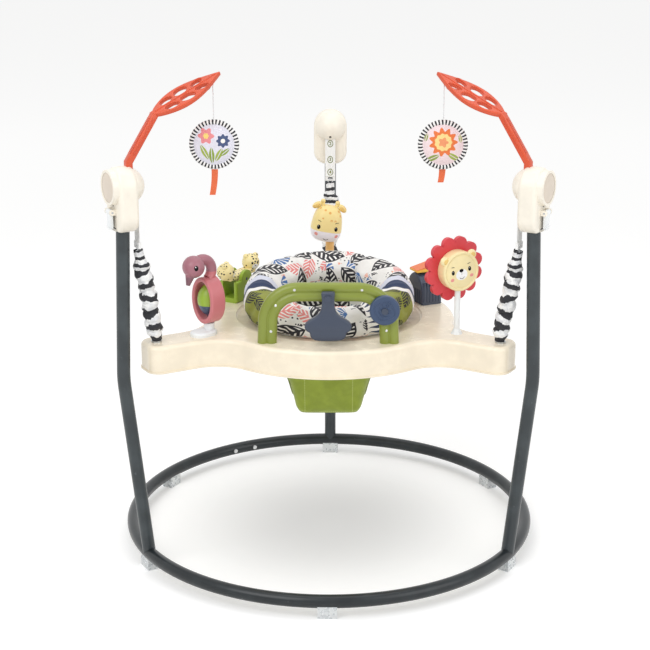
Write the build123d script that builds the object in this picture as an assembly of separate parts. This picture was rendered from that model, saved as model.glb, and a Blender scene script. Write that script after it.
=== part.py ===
from build123d import *
import math
import os

# Free-standing baby jumper in millimetres. The floor is z = 0, the ring's axis is the Z axis and
# the front of the toy tray looks along -Y.

# Where the three posts stand round the ring, in degrees from +X
stations = {"left": -150, "right": -30, "rear": 90}

# Floor ring and posts
ring_radius = 400
tube_diameter = 25
tube_wall = 1.5
ring_lift = 17.5
spigot_length = 60
spigot_wall = 2
spigot_gap = 0.15
joint_gap = 0.2
coupler_span = 13
screw_from_seam = 3.6
screw_radius = 2.5
screw_head_radius = 4.5
screw_head_height = 2.4
screw_depth = 5
bend_reach = 438
bend_height = 392
bend_rounding = 240
tower_radius = 426
post_top = 722
foot_span = 5
foot_half_width = 11
foot_grip = 5

# Strap towers on the posts
tower_half_width = 36
tower_bottom = 673
tower_axis = 755
tower_inward = 19
tower_outward = 18
tower_corner = 27
tower_edge = 8
tower_wall = 2.5
tower_split = 6
dome_radius = 32
dome_reach = 41
cap_radius = 32
cap_reach = 28
cap_recess = 2.5
cap_rim = 5
collar_wall = 4.5
lever_pin_radius = 2
lever_pin_out = 25
lever_pin_drop = 44
lever_width = 17
lever_length = 32
lever_thickness = 5
lever_hub = 5
ear_thickness = 4
pivot_gap = 0.06
side_gap = 0.4

# Straps, springs and gathered sleeves
strap_inset = 26
strap_width = 22
strap_thickness = 1.6
strap_top = 735
strap_end = 638
strap_hem = 12
hem_thickness = 5
guide_radius = 4
guide_height = 732
slot_gap = 1.2
height_step = 40
hook_radius = 370
hook_base_radius = 10
hook_base_height = 3
eye_radius = 5
eye_wire = 1.6
spring_radius = 7.3
spring_wire = 2.2
link_radius = 5
link_wire = 1.1
hem_bar = 3
sleeve_neck = 11
sleeve_fold = 17
sleeve_slack = 1.2
sleeve_folds = 9
soft_gap = 0.4

# Tray
tray_top = 454
tray_depth = 50
tray_radius = 247
tray_wall = 3
tray_edge = 8
arm_reach = 394
arm_half_width = 36
arm_corner = 24
arm_blend = 82
dish_radius = 184
dish_depth = 6
seat_hole = 128
underside_thickness = 3
underside_lip = 2
boss_radius = 6
boss_circle = 228
boss_hole = 1.6

# Seat
turning_gap = 0.5
seat_ring_wall = 5
seat_flange = 150
seat_flange_height = 4
retainer_reach = 140
retainer_height = 4
pad_circle = 133
pad_half_width = 36
pad_half_height = 44
pad_height = 486
pad_tilt = 9
pad_channels = 6
pad_channel_depth = 4
pad_channel_width = 3
sling_half_width = 62
sling_half_depth = 56
sling_bottom = 255
sling_cloth = 4
leg_hole_radius = 42
leg_hole_height = 330

# Toy arch over the front of the tray
arch_front = 188
arch_half_span = 110
arch_lean = 4
arch_height = 552
arch_corner = 58
arch_rib = 10
arch_rib_offset = 8
arch_web = 7
arch_foot = 8
pin_radius = 3
pin_gap = 0.05
clacker_height = 546
clacker_stem = 27
clacker_width = 90
clacker_top = 517
clacker_bottom = 463
clacker_thickness = 15
disc_place = (104, 521)
disc_radius = 28
disc_thickness = 10
pin_head = 6
pin_head_height = 3

# Wading bird on the left arm
bird_place = (-226, -132)
bird_turn = -138
bird_height = 67
bird_half_height = 45
bird_half_width = 33
bird_wall = 9
bird_depth = 32
egg_radius = 21
egg_gap = 3
bird_neck = 10
bird_head = 21
bird_head_reach = 33
bird_head_height = 136
bird_beak = 24
bird_foot_length = 54
bird_foot_width = 38
bird_foot_height = 9

# See-saw on the left rear bulge
rocker_circle = 214
rocker_angle = 150
rocker_span = 92
rocker_pivot = 44
rocker_width = 26
rocker_base_length = 74
rocker_base_width = 40
cat_radius = 18
cat_height = 44
cat_turn = 25

# Lion on the right arm
lion_place = (243, -129)
lion_turn = -62.6
lion_height = 124
lion_face_radius = 38
lion_face_depth = 24
lion_ear = 8
mane_radius = 49
mane_petal = 13
mane_petals = 12
mane_thickness = 9
lion_post_radius = 5.5
lion_foot_radius = 11

# Giraffe on the rear arm
giraffe_out = 240
giraffe_turn = -86
giraffe_foot_radius = 18
giraffe_pivot = 12
giraffe_ball = 11.6
giraffe_neck_height = 100
giraffe_neck_radius = 9
giraffe_head_height = 129
giraffe_head_radius = 34
giraffe_muzzle = 27
giraffe_horn = 4.5

# Sound box on the right rear bulge
box_circle = 214
box_angle = 25
box_width = 62
box_depth = 46
box_height = 62
box_wall = 2.5
box_edge = 4
flute_radius = 4
flutes = 6
beak_length = 54
beak_thickness = 18
beak_tip = 5
key_stem = 5
key_travel = 3
door_thickness = 2

# Leaf arms and hanging toys
stem_width = 16
stem_thickness = 12
stem_inset = 14
peg_depth = 20
stem_rise = 6
stem_lean = (54, 82)
leaf_length = 146
leaf_half_width = 42
leaf_thickness = 9
leaf_pitch = 26
leaf_roll = 14
leaf_edge = 2.5
leaf_slots = ((38, 15, 30), (70, 16, 30), (101, 12, 22))
leaf_slot_width = 12
leaf_slot_turn = 32
hang_from_tip = 17
hang_stub = 3
hang_drop = 14
cord_radius = 1
toy_height = 814
toy_radius = 46
toy_thickness = 24
piping_radius = 5
ribbon_width = 12
ribbon_thickness = 1.4
ribbon_lengths = {"left": 48, "right": 24}

# Worked out from the sizes above
tube_radius = tube_diameter / 2
tube_bore = tube_radius - tube_wall
ring_height = ring_lift + tube_radius
strap_radius = tower_radius - strap_inset
tray_bottom = tray_top - tray_depth
dish_floor = tray_top - dish_depth
hook_eye_height = tray_top + hook_base_height + eye_radius
arch_y = -arch_front
segment_starts = {"right": -120, "rear": 0, "left": 120}


def at_station(shape, name):
    return Rot(0, 0, stations[name]) * shape


def on_tray(shape, place, turn):
    return Pos(*place, tray_top) * Rot(0, 0, turn) * shape


def polar(radius, angle):
    return radius * math.cos(math.radians(angle)), radius * math.sin(math.radians(angle))


def swept_round(path, outer, inner=0):
    section = Circle(outer) - Circle(inner) if inner else Circle(outer)
    return sweep(Plane(origin=path @ 0, z_dir=path % 0) * section, path=path)


def rod(start, end, radius):
    along = Vector(*end) - Vector(*start)
    return extrude(Plane(origin=start, z_dir=along) * Circle(radius), amount=along.length)


def egg_form(radius, half_height):
    side = ThreePointArc((0, -half_height), (radius, 0), (0, half_height))
    return revolve(Plane.XZ * make_face([side, Line((0, half_height), (0, -half_height))]), Axis.Z)


# Floor ring


def seam_screw_line(seam, side):
    angle = seam + side * screw_from_seam
    inner = polar(ring_radius - tube_radius - joint_gap, angle)
    outward = polar(1, angle)
    return Plane(origin=(*inner, ring_height), z_dir=(*outward, 0))


def seam_holes(radius):
    return [
        seam_screw_line(seam, side) * extrude(Circle(radius), amount=2 * screw_depth, both=True)
        for seam in segment_starts.values()
        for side in (-1, 1)
    ]


def post_path(top):
    run = (post_top - bend_height) / (tower_radius - bend_reach)
    end = (tower_radius + (top - post_top) / run, top)
    return Plane.XZ * FilletPolyline(
        (ring_radius, ring_height), (bend_reach, bend_height), end, radius=bend_rounding
    )


def ring_segment(start):
    section = Circle(tube_radius) - Circle(tube_bore)
    tube = revolve(Plane.XZ * Pos(ring_radius, ring_height) * section, Axis.Z, revolution_arc=120)
    lean = (bend_reach - ring_radius, 0, bend_height - ring_height)
    foot = Plane(origin=(ring_radius, 0, ring_height), z_dir=lean)
    outer = tube_bore - spigot_gap
    spigot = foot * extrude(Circle(outer) - Circle(outer - spigot_wall), amount=tube_radius + spigot_length)
    spigot -= Pos(0, 0, ring_height) * Torus(ring_radius, tube_bore)
    segment = Rot(0, 0, start) * (tube + Rot(0, 0, 90) * spigot)
    for hole in seam_holes(screw_radius + joint_gap):
        segment -= hole
    return segment


def ring_couplers():
    outer = tube_bore - spigot_gap
    section = Circle(outer) - Circle(outer - spigot_wall)
    face = Plane.XZ * Pos(ring_radius, ring_height) * section
    sleeve = Rot(0, 0, -coupler_span / 2) * revolve(face, Axis.Z, revolution_arc=coupler_span)
    sleeves = []
    for seam in segment_starts.values():
        piece = Rot(0, 0, seam) * sleeve
        for hole in seam_holes(screw_radius + joint_gap):
            piece -= hole
        sleeves.append(piece)
    return Compound(sleeves)


def ring_screws():
    screws = []
    for seam in segment_starts.values():
        for side in (-1, 1):
            line = seam_screw_line(seam, side)
            shank = extrude(Circle(screw_radius), amount=screw_depth)
            head = extrude(Circle(screw_head_radius), amount=-screw_head_height)
            screws.append(line * (shank + head))
    return Compound(screws)


def foot_pads():
    top = ring_height - foot_grip
    block = Pos(ring_radius, top / 2) * Rectangle(2 * foot_half_width, top)
    section = block - Pos(ring_radius, ring_height) * Circle(tube_radius + joint_gap)
    pad = Rot(0, 0, -foot_span / 2) * revolve(Plane.XZ * section, Axis.Z, revolution_arc=foot_span)
    return Compound([Rot(0, 0, 30 + 60 * step) * pad for step in range(6)])


def post():
    tube = swept_round(post_path(post_top), tube_radius, tube_bore)
    return tube - Pos(0, 0, ring_height) * Torus(ring_radius, tube_radius + joint_gap)


# Strap towers


def tower_form(inset):
    half = tower_half_width - inset
    bottom = tower_bottom + inset
    middle = (bottom + tower_axis) / 2
    outline = Pos(0, middle) * Rectangle(2 * half, tower_axis - bottom)
    outline = fillet(outline.vertices().group_by(Axis.Y)[0], tower_corner - inset)
    outline += Pos(0, tower_axis) * Circle(half)
    inner_face = Plane.YZ.offset(tower_radius - tower_inward + inset)
    body = extrude(inner_face * outline, amount=tower_inward + tower_outward - 2 * inset)
    ends = body.faces().sort_by(Axis.X)
    body = fillet(ends[0].edges() + ends[-1].edges(), tower_edge - inset)
    axis = Axis((tower_radius, 0, tower_axis), (1, 0, 0))
    shoulder = (tower_radius - tower_inward, tower_axis + dome_radius - inset)
    tip = (tower_radius - dome_reach + inset, tower_axis)
    back = (tower_radius, tower_axis + dome_radius - inset)
    centre = (tower_radius, tower_axis)
    rounding = TangentArc(tip, shoulder, tangent=(0, 1))
    profile = make_face([Line(centre, tip), rounding, Line(shoulder, back), Line(back, centre)])
    dome = revolve(Plane.XZ * profile, axis)
    cap_plane = Plane(origin=(tower_radius, 0, tower_axis), z_dir=(1, 0, 0))
    cap = cap_plane * extrude(Circle(cap_radius - inset), amount=cap_reach - inset)
    return body + dome + cap


def lever_pin_point():
    return tower_radius + lever_pin_out, tower_axis - lever_pin_drop


def tower_housing():
    solid = tower_form(0)
    hollow = solid - tower_form(tower_wall)
    path = post_path(post_top)
    hollow += swept_round(path, tube_radius + collar_wall) & solid
    bar = Pos(strap_radius + strap_thickness / 2 + soft_gap + guide_radius, 0, guide_height)
    hollow += (bar * Rot(90, 0, 0) * Cylinder(guide_radius, 4 * tower_half_width)) & solid
    hollow -= swept_round(path, tube_radius + joint_gap)
    slot = Box(strap_thickness + 2 * slot_gap, strap_width + 2 * slot_gap, tower_axis - tower_bottom)
    below = (tower_axis + tower_bottom) / 2
    mouth = Pos(strap_radius - slot_gap / 2, 0, below) * slot
    return hollow - (mouth - Pos(strap_radius, 0, strap_top + height_step) * Box(9, 60, 20))


def tower_cut():
    return Plane(origin=(tower_radius + tower_split, 0, 0), z_dir=(1, 0, 0))


def tower_shell(leaf):
    shell = split(tower_housing(), bisect_by=tower_cut(), keep=Keep.BOTTOM)
    if leaf:
        shell -= leaf_peg(joint_gap)
    return shell


def tower_cover():
    cover = split(tower_housing(), bisect_by=tower_cut(), keep=Keep.TOP)
    face = Plane(origin=(tower_radius + cap_reach, 0, tower_axis), z_dir=(1, 0, 0))
    cover -= face * extrude(Circle(cap_radius - cap_rim), amount=-cap_recess / 2, both=False)
    out, height = lever_pin_point()
    reach = lever_pin_out + lever_hub - tower_outward
    for side in (-1, 1):
        across = side * (lever_width / 2 + side_gap + ear_thickness / 2)
        wing = Box(reach + tower_wall / 2, ear_thickness, 2 * lever_hub)
        ear = Pos(out + lever_hub - (reach + tower_wall / 2) / 2, across, height) * wing
        cover += fillet(ear.edges().filter_by(Axis.Y).group_by(Axis.X)[-1], lever_hub - 1)
    bore = Pos(out, 0, height) * Rot(90, 0, 0) * Cylinder(lever_pin_radius + pivot_gap, 4 * lever_width)
    return cover - bore


def lever_pin():
    out, height = lever_pin_point()
    length = lever_width + 2 * side_gap + 2 * ear_thickness
    return Pos(out, 0, height) * Rot(90, 0, 0) * Cylinder(lever_pin_radius, length)


def lock_lever():
    out, height = lever_pin_point()
    hub = Pos(out, 0, height) * Rot(90, 0, 0) * Cylinder(lever_hub, lever_width)
    paddle = Pos(out, 0, height - lever_length / 2) * Box(lever_thickness, lever_width, lever_length)
    paddle = fillet(paddle.edges().filter_by(Axis.X).group_by(Axis.Z)[0], lever_width / 3)
    thumb = Pos(out + lever_thickness / 2, 0, height - 0.8 * lever_length)
    ridge = thumb * Rot(90, 0, 0) * Cylinder(lever_thickness / 2, 0.7 * lever_width)
    bore = Pos(out, 0, height) * Rot(90, 0, 0) * Cylinder(lever_pin_radius + pivot_gap, 2 * lever_width)
    return hub + paddle + ridge - bore


# Leaf arms over the front towers


def stem_points():
    foot = tower_radius - stem_inset
    top = tower_axis + tower_half_width
    knee = (foot, top + stem_rise)
    end = (foot - stem_lean[0], top + stem_rise + stem_lean[1])
    return (foot, top - peg_depth), knee, end


def stem_path():
    start, knee, end = stem_points()
    return Plane.XZ * FilletPolyline(start, knee, end, radius=2 * stem_thickness)


def leaf_peg(gap):
    start, knee, end = stem_points()
    size = Box(stem_thickness + 2 * gap, stem_width + 2 * gap, knee[1] - start[1] + stem_rise)
    return Pos(start[0], 0, (start[1] + knee[1]) / 2) * size


def leaf_plane(roll_side):
    start, knee, end = stem_points()
    pitch = math.radians(leaf_pitch)
    roll = math.radians(leaf_roll)
    along = Vector(-math.cos(pitch), 0, math.sin(pitch))
    upright = Vector(math.sin(pitch), 0, math.cos(pitch))
    normal = upright * math.cos(roll) + Vector(0, roll_side, 0) * math.sin(roll)
    return Plane(origin=(end[0], 0, end[1]), x_dir=along, z_dir=normal)


def leaf_outline():
    base = stem_width / 2
    widest = (0.42 * leaf_length, leaf_half_width)
    upper = ThreePointArc((0, base), widest, (leaf_length, 0))
    lower = ThreePointArc((0, -base), (widest[0], -widest[1]), (leaf_length, 0))
    blade = make_face([upper, lower, Line((0, -base), (0, base))])
    blade = fillet(blade.vertices().sort_by(Axis.X)[-1], leaf_edge * 2)
    heel = Rectangle(stem_thickness, stem_width)
    return blade + heel


def leaf_holes():
    slots = Sketch()
    for along, across, length in leaf_slots:
        for side in (-1, 1):
            slot = SlotOverall(length, leaf_slot_width)
            slots += Pos(along, side * across) * Rot(0, 0, side * leaf_slot_turn) * slot
    return slots


def hang_point(name):
    plane = leaf_plane(1 if name == "left" else -1)
    spot = plane.from_local_coords((leaf_length - hang_from_tip, 0, 0))
    return Vector(spot.X, spot.Y, spot.Z - hang_drop)


def leaf_arm(name):
    plane = leaf_plane(1 if name == "left" else -1)
    path = stem_path()
    start = Plane(origin=path @ 0, x_dir=(1, 0, 0), z_dir=path % 0)
    stem = sweep(start * RectangleRounded(stem_thickness, stem_width, leaf_edge), path=path)
    blade = extrude(leaf_outline(), amount=leaf_thickness / 2, both=True)
    faces = blade.faces().sort_by(Axis.Z)
    blade = fillet(faces[0].edges() + faces[-1].edges(), leaf_edge)
    blade -= extrude(leaf_holes(), amount=leaf_thickness, both=True)
    top = hang_point(name)
    stub = rod(tuple(top), (top.X, top.Y, top.Z + hang_drop), hang_stub)
    return stem + plane * blade + stub


# Hanging toys, in the station's frame


def toy_turn(name):
    return -stations[name]


def hang_cord(name):
    top = hang_point(name)
    foot = (top.X, top.Y, toy_height + toy_radius + soft_gap)
    return rod(foot, (top.X, top.Y, top.Z - soft_gap), cord_radius)


def hang_disc(name):
    top = hang_point(name)
    rim = toy_radius - piping_radius
    swell = ThreePointArc((0, toy_thickness / 2), (0.6 * rim, 0.4 * toy_thickness), (rim, piping_radius / 2))
    half = make_face([swell, Line((rim, piping_radius / 2), (rim, 0)), Line((rim, 0), (0, 0)),
                      Line((0, 0), (0, toy_thickness / 2))])
    cushion = revolve(Plane.XZ * half, Axis.Z)
    cushion += mirror(cushion, Plane.XY)
    cushion += Torus(rim, piping_radius)
    facing = Pos(top.X, top.Y, toy_height) * Rot(0, 0, toy_turn(name)) * Rot(90, 0, 0)
    return facing * cushion


def hang_ribbon(name):
    top = hang_point(name)
    length = ribbon_lengths[name]
    tail = Box(ribbon_width, ribbon_thickness, length)
    middle = toy_height - toy_radius - soft_gap - length / 2
    return Pos(top.X, top.Y, middle) * Rot(0, 0, toy_turn(name)) * tail


# Straps, springs and sleeves


def strap():
    web = Box(strap_thickness, strap_width, strap_top - strap_end)
    band = Pos(strap_radius, 0, (strap_top + strap_end) / 2) * web
    hem = Pos(strap_radius, 0, strap_end + strap_hem / 2) * Box(hem_thickness, strap_width, strap_hem)
    band += fillet(hem.edges().filter_by(Axis.Y), hem_thickness / 3)
    eyelet = Box(4 * hem_thickness, 2 * link_radius, link_radius)
    return band - Pos(strap_radius, 0, strap_end + hem_bar + link_radius / 2) * eyelet


def spring_ends():
    eye_top = hook_eye_height + eye_radius - eye_wire
    low = Vector(hook_radius, 0, eye_top - soft_gap - link_wire + link_radius)
    high = Vector(strap_radius, 0, strap_end + hem_bar + soft_gap + link_wire - link_radius)
    return low, high


def spring_line():
    low, high = spring_ends()
    return Plane(origin=low, x_dir=(0, 1, 0), z_dir=high - low), (high - low).length


def spring():
    plane, length = spring_line()
    low, high = spring_ends()
    coil = Cylinder(spring_radius, length - 1.4 * link_radius)
    coil -= Cylinder(spring_radius - spring_wire, length - 1.4 * link_radius - 4 * spring_wire)
    lower_link = Pos(*low) * Rot(0, 90, 0) * Torus(link_radius, link_wire)
    upper_link = Pos(*high) * Rot(90, 0, 0) * Torus(link_radius, link_wire)
    return plane * Pos(0, 0, length / 2) * coil + lower_link + upper_link


def sleeve():
    plane, length = spring_line()
    low = -0.8 * link_radius
    high = length - 0.7 * link_radius
    bore = spring_radius + soft_gap
    pitch = (high - low) / sleeve_folds
    edges = []
    for fold in range(sleeve_folds):
        swell = sleeve_fold - sleeve_slack * (1 + math.sin(2.3 * fold))
        start = (sleeve_neck, low + fold * pitch)
        crest = (swell, low + (fold + 0.5) * pitch)
        edges.append(ThreePointArc(start, crest, (sleeve_neck, low + (fold + 1) * pitch)))
    edges.append(Line((sleeve_neck, high), (bore, high)))
    edges.append(Line((bore, high), (bore, low)))
    edges.append(Line((bore, low), (sleeve_neck, low)))
    return plane * revolve(Plane.XZ * make_face(edges), Axis.Z)


def spring_hook():
    base = Pos(hook_radius, 0, tray_top + hook_base_height / 2) * Cylinder(hook_base_radius, hook_base_height)
    eye = Pos(hook_radius, 0, hook_eye_height) * Rot(90, 0, 0) * Torus(eye_radius, eye_wire)
    return base + eye - Pos(hook_radius, 0, tray_top - eye_radius) * Box(40, 40, 2 * eye_radius)


# Tray


def tray_outline(inset):
    outline = Circle(tray_radius - inset)
    reach = arm_reach - inset
    half = arm_half_width - inset
    for angle in stations.values():
        arm = Pos(reach / 2, 0) * Rectangle(reach, 2 * half)
        arm = fillet(arm.vertices().group_by(Axis.X)[-1], arm_corner - inset)
        outline += Rot(0, 0, angle) * arm
    hips = [corner for corner in outline.vertices() if corner.center().length < tray_radius + 1 - inset]
    return fillet(hips, arm_blend + inset)


def tray_shell():
    body = extrude(Pos(0, 0, tray_bottom) * tray_outline(0), amount=tray_depth)
    body = fillet(body.faces().sort_by(Axis.Z)[-1].edges(), tray_edge)
    dish = Pos(0, 0, dish_floor + dish_depth) * Cylinder(dish_radius, 2 * dish_depth)
    body -= fillet(dish.edges().group_by(Axis.Z)[0], dish_depth - 1)
    hollow = extrude(Pos(0, 0, tray_bottom) * tray_outline(tray_wall), amount=tray_depth - tray_wall)
    hollow = fillet(hollow.faces().sort_by(Axis.Z)[-1].edges(), tray_edge - tray_wall)
    hollow -= Pos(0, 0, tray_top) * Cylinder(dish_radius + tray_wall, 2 * (dish_depth + tray_wall))
    well = seat_hole + tray_wall
    hollow -= Pos(0, 0, tray_bottom + tray_depth / 2) * Cylinder(well, 2 * tray_depth)
    body -= hollow
    for angle in stations.values():
        for turn in (-28, 28):
            spot = polar(boss_circle, angle + turn)
            height = tray_depth - tray_wall / 2
            boss = Cylinder(boss_radius, height) - Cylinder(boss_hole, height - 4 * tray_wall)
            body += Pos(*spot, tray_bottom + height / 2) * boss
    return body - Cylinder(seat_hole, 4 * tray_top)


def tray_underside():
    plate = extrude(Pos(0, 0, tray_bottom) * tray_outline(-underside_lip), amount=-underside_thickness)
    plate = fillet(plate.faces().sort_by(Axis.Z)[0].edges(), underside_thickness / 3)
    return plate - Cylinder(seat_hole, 4 * tray_top)


# Seat


def seat_ring():
    outer = seat_hole - turning_gap
    top = dish_floor + turning_gap + seat_flange_height
    low = tray_bottom - underside_thickness - turning_gap
    barrel = Pos(0, 0, (top + low) / 2) * Cylinder(outer, top - low)
    flange_middle = dish_floor + turning_gap + seat_flange_height / 2
    flange = Pos(0, 0, flange_middle) * Cylinder(seat_flange, seat_flange_height)
    bore = outer - seat_ring_wall
    return barrel + flange - Pos(0, 0, (top + low) / 2) * Cylinder(bore, 2 * (top - low))


def seat_retainer():
    top = tray_bottom - underside_thickness - turning_gap
    bore = seat_hole - turning_gap - seat_ring_wall
    ring = Cylinder(retainer_reach, retainer_height) - Cylinder(bore, retainer_height)
    return Pos(0, 0, top - retainer_height / 2) * ring


def seat_pad():
    roll = revolve(Plane.XZ * Pos(pad_circle, 0) * Ellipse(pad_half_width, pad_half_height), Axis.Z)
    wide, tall = pad_half_width, pad_half_height
    crease = Ellipse(2 * wide, 2 * tall) - Ellipse(wide - pad_channel_depth, tall - pad_channel_depth)
    cutter = extrude(Plane.XZ * Pos(pad_circle, 0) * crease, amount=pad_channel_width / 2, both=True)
    for step in range(pad_channels):
        roll -= Rot(0, 0, 90 + 360 * (step + 0.5) / pad_channels) * cutter
    roll = Pos(0, 0, pad_height) * Rot(pad_tilt, 0, 0) * roll
    seat_top = dish_floor + turning_gap + seat_flange_height + soft_gap
    return roll - Pos(0, 0, seat_top - tray_depth) * Cylinder(2 * pad_circle, 2 * tray_depth)


def seat_sling():
    top = dish_floor + turning_gap + seat_flange_height
    rim = seat_hole - turning_gap - seat_ring_wall - soft_gap

    def pouch(inset):
        mouth = Pos(0, 0, top) * Circle(rim - inset)
        waist_height = tray_bottom - underside_thickness - retainer_height
        foot = RectangleRounded(2 * (sling_half_width - inset), 2 * (sling_half_depth - inset), 30)
        floor = sling_bottom + inset
        tapered = loft([mouth, Pos(0, 0, waist_height) * Circle(rim - inset - 6)])
        lower = loft([Pos(0, 0, waist_height) * Circle(rim - inset - 6), Pos(0, 0, floor) * foot])
        lower = fillet(lower.faces().sort_by(Axis.Z)[0].edges(), 18 - inset)
        return tapered + lower

    sling = pouch(0) - pouch(sling_cloth)
    legs = Pos(0, 0, leg_hole_height) * Rot(0, 90, 0) * Cylinder(leg_hole_radius, 400)
    return sling - legs


# Toy arch


def arch_path():
    low = tray_top - arch_foot
    wide = arch_half_span + arch_lean
    narrow = arch_half_span
    plane = Plane(origin=(0, arch_y, 0), x_dir=(1, 0, 0), z_dir=(0, -1, 0))
    return plane * FilletPolyline(
        (-wide, low), (-narrow, arch_height), (narrow, arch_height), (wide, low), radius=arch_corner
    )


def front_pin(place, behind, ahead):
    x, z = place
    return rod((x, arch_y + behind, z), (x, arch_y - ahead, z), pin_radius)


def toy_arch():
    path = arch_path()
    start = Plane(origin=path @ 0, x_dir=(0, 1, 0), z_dir=path % 0)
    section = Rectangle(2 * arch_web, 2 * arch_rib_offset)
    for side in (-1, 1):
        section += Pos(0, side * arch_rib_offset) * Circle(arch_rib)
    bar = sweep(start * section, path=path)
    bar -= Pos(0, arch_y, tray_top - arch_rib) * Box(4 * arch_half_span, 4 * arch_rib, 2 * arch_rib)
    for place in ((0, clacker_height), disc_place):
        x, z = place
        bar -= rod((x, arch_y - 40, z), (x, arch_y + 40, z), pin_radius + pin_gap)
    return bar


def clacker():
    front = arch_y - arch_rib - side_gap - clacker_thickness
    plane = Plane(origin=(0, front, 0), x_dir=(1, 0, 0), z_dir=(0, 1, 0))
    middle = (clacker_top + clacker_bottom) / 2
    tall = clacker_top - clacker_bottom
    sketch = Pos(0, -clacker_height) * Circle(clacker_stem / 2)
    stem_tall = clacker_height - middle
    sketch += Pos(0, -(clacker_height + middle) / 2) * Rectangle(clacker_stem, stem_tall)
    sketch += Pos(0, -middle) * RectangleRounded(0.62 * clacker_width, tall, tall / 3)
    for side in (-1, 1):
        ear = Pos(side * 0.31 * clacker_width, -middle - tall / 10) * Ellipse(0.19 * clacker_width, tall / 3)
        sketch += ear
    plate = extrude(plane * sketch, amount=clacker_thickness)
    ends = plate.faces().sort_by(Axis.Y)
    plate = fillet(ends[0].edges(), clacker_thickness / 4)
    return plate - front_pin_bore((0, clacker_height))


def front_pin_bore(place):
    x, z = place
    return rod((x, arch_y - 60, z), (x, arch_y + 60, z), pin_radius + pivot_gap)


def leaf_disc():
    x, z = disc_place
    back = arch_y - arch_rib - side_gap
    plane = Plane(origin=(x, back, z), z_dir=(0, -1, 0))
    disc = extrude(Circle(disc_radius), amount=disc_thickness)
    disc = fillet(disc.edges().group_by(Axis.Z)[-1], disc_thickness / 3)
    return plane * disc - front_pin_bore(disc_place)


def front_pins():
    pins = []
    for place, thickness in (((0, clacker_height), clacker_thickness), (disc_place, disc_thickness)):
        x, z = place
        ahead = arch_rib + 2 * side_gap + thickness
        head = rod((x, arch_y - ahead, z), (x, arch_y - ahead - pin_head_height, z), pin_head)
        pins.append(front_pin(place, arch_rib, ahead) + head)
    return pins


# Wading bird


def bird_foot():
    heel = Pos(bird_foot_length / 4, 0, bird_foot_height / 2)
    pad = heel * extrude(SlotOverall(bird_foot_length, bird_foot_width), amount=bird_foot_height / 2, both=True)
    pad = fillet(pad.edges().group_by(Axis.Z)[-1], bird_foot_height / 2)
    leg_top = bird_height - bird_half_height - joint_gap
    leg = Pos(0, 0, leg_top / 2) * Cylinder(bird_neck, leg_top)
    return on_tray(pad + leg, bird_place, bird_turn)


def bird_body():
    centre = Pos(0, bird_height)
    ring = Ellipse(bird_half_width, bird_half_height)
    ring -= Ellipse(bird_half_width - bird_wall, bird_half_height - bird_wall)
    plane = Plane.YZ.offset(-bird_depth / 2)
    band = extrude(plane * centre * ring, amount=bird_depth)
    band = fillet(band.edges(), bird_wall / 3)
    root = (0, bird_height + bird_half_height - bird_wall / 2)
    head = (bird_head_reach, bird_head_height)
    crown = (0.25 * bird_head_reach, bird_head_height + bird_neck)
    neck = swept_round(Plane.XZ * ThreePointArc(root, crown, head), bird_neck)
    skull = Pos(bird_head_reach, 0, bird_head_height) * Sphere(bird_head)
    beak_plane = Plane(
        origin=(bird_head_reach + bird_head / 3, 0, bird_head_height - bird_head / 2), z_dir=(0.3, 0, -1)
    )
    beak = beak_plane * extrude(Circle(bird_head / 2), amount=bird_beak, taper=16)
    toy = band + neck + skull + beak
    axle = rod((0, 0, bird_height - bird_half_height - 1), (0, 0, bird_height + bird_half_height - bird_wall / 3),
               pin_radius + pin_gap)
    foot_cut = Pos(0, 0, bird_height - bird_half_height - bird_wall) * Box(60, 60, 2 * bird_wall)
    return on_tray(toy - axle - foot_cut, bird_place, bird_turn)


def bird_egg():
    half = bird_half_height - bird_wall - egg_gap
    egg = Pos(0, 0, bird_height) * egg_form(egg_radius, half)
    bore = rod((0, 0, 0), (0, 0, 3 * bird_height), pin_radius + pivot_gap)
    return on_tray(egg - bore, bird_place, bird_turn)


def bird_axle():
    low = bird_height - bird_half_height
    high = bird_height + bird_half_height - bird_wall / 2
    return on_tray(rod((0, 0, low), (0, 0, high), pin_radius), bird_place, bird_turn)


# See-saw


def on_rocker(shape):
    return on_tray(shape, polar(rocker_circle, rocker_angle), rocker_angle)


def rocker_axle():
    length = rocker_base_width
    return on_rocker(Pos(0, 0, rocker_pivot) * Rot(0, 90, 0) * Cylinder(pin_radius, length))


def rocker_base():
    side = Pos(0, rocker_pivot / 2) * Rectangle(rocker_base_length, rocker_pivot)
    side += Pos(0, rocker_pivot) * Circle(rocker_base_length / 4)
    block = extrude(Plane.YZ * side, amount=rocker_base_width / 2, both=True)
    block = fillet(block.faces().sort_by(Axis.X)[0].edges().filter_by(GeomType.LINE), 4)
    channel = Box(rocker_width + 2 * side_gap, 2 * rocker_base_length, 2 * rocker_pivot)
    block -= Pos(0, 0, rocker_pivot + 10) * channel
    bore = Rot(0, 90, 0) * Cylinder(pin_radius + pin_gap, 2 * rocker_base_width)
    return on_rocker(block - Pos(0, 0, rocker_pivot) * bore)


def cat_head():
    skull = Sphere(cat_radius)
    for side in (-1, 1):
        skull += Pos(0, side * 0.62 * cat_radius, 0.72 * cat_radius) * Sphere(0.34 * cat_radius)
    return skull


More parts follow.
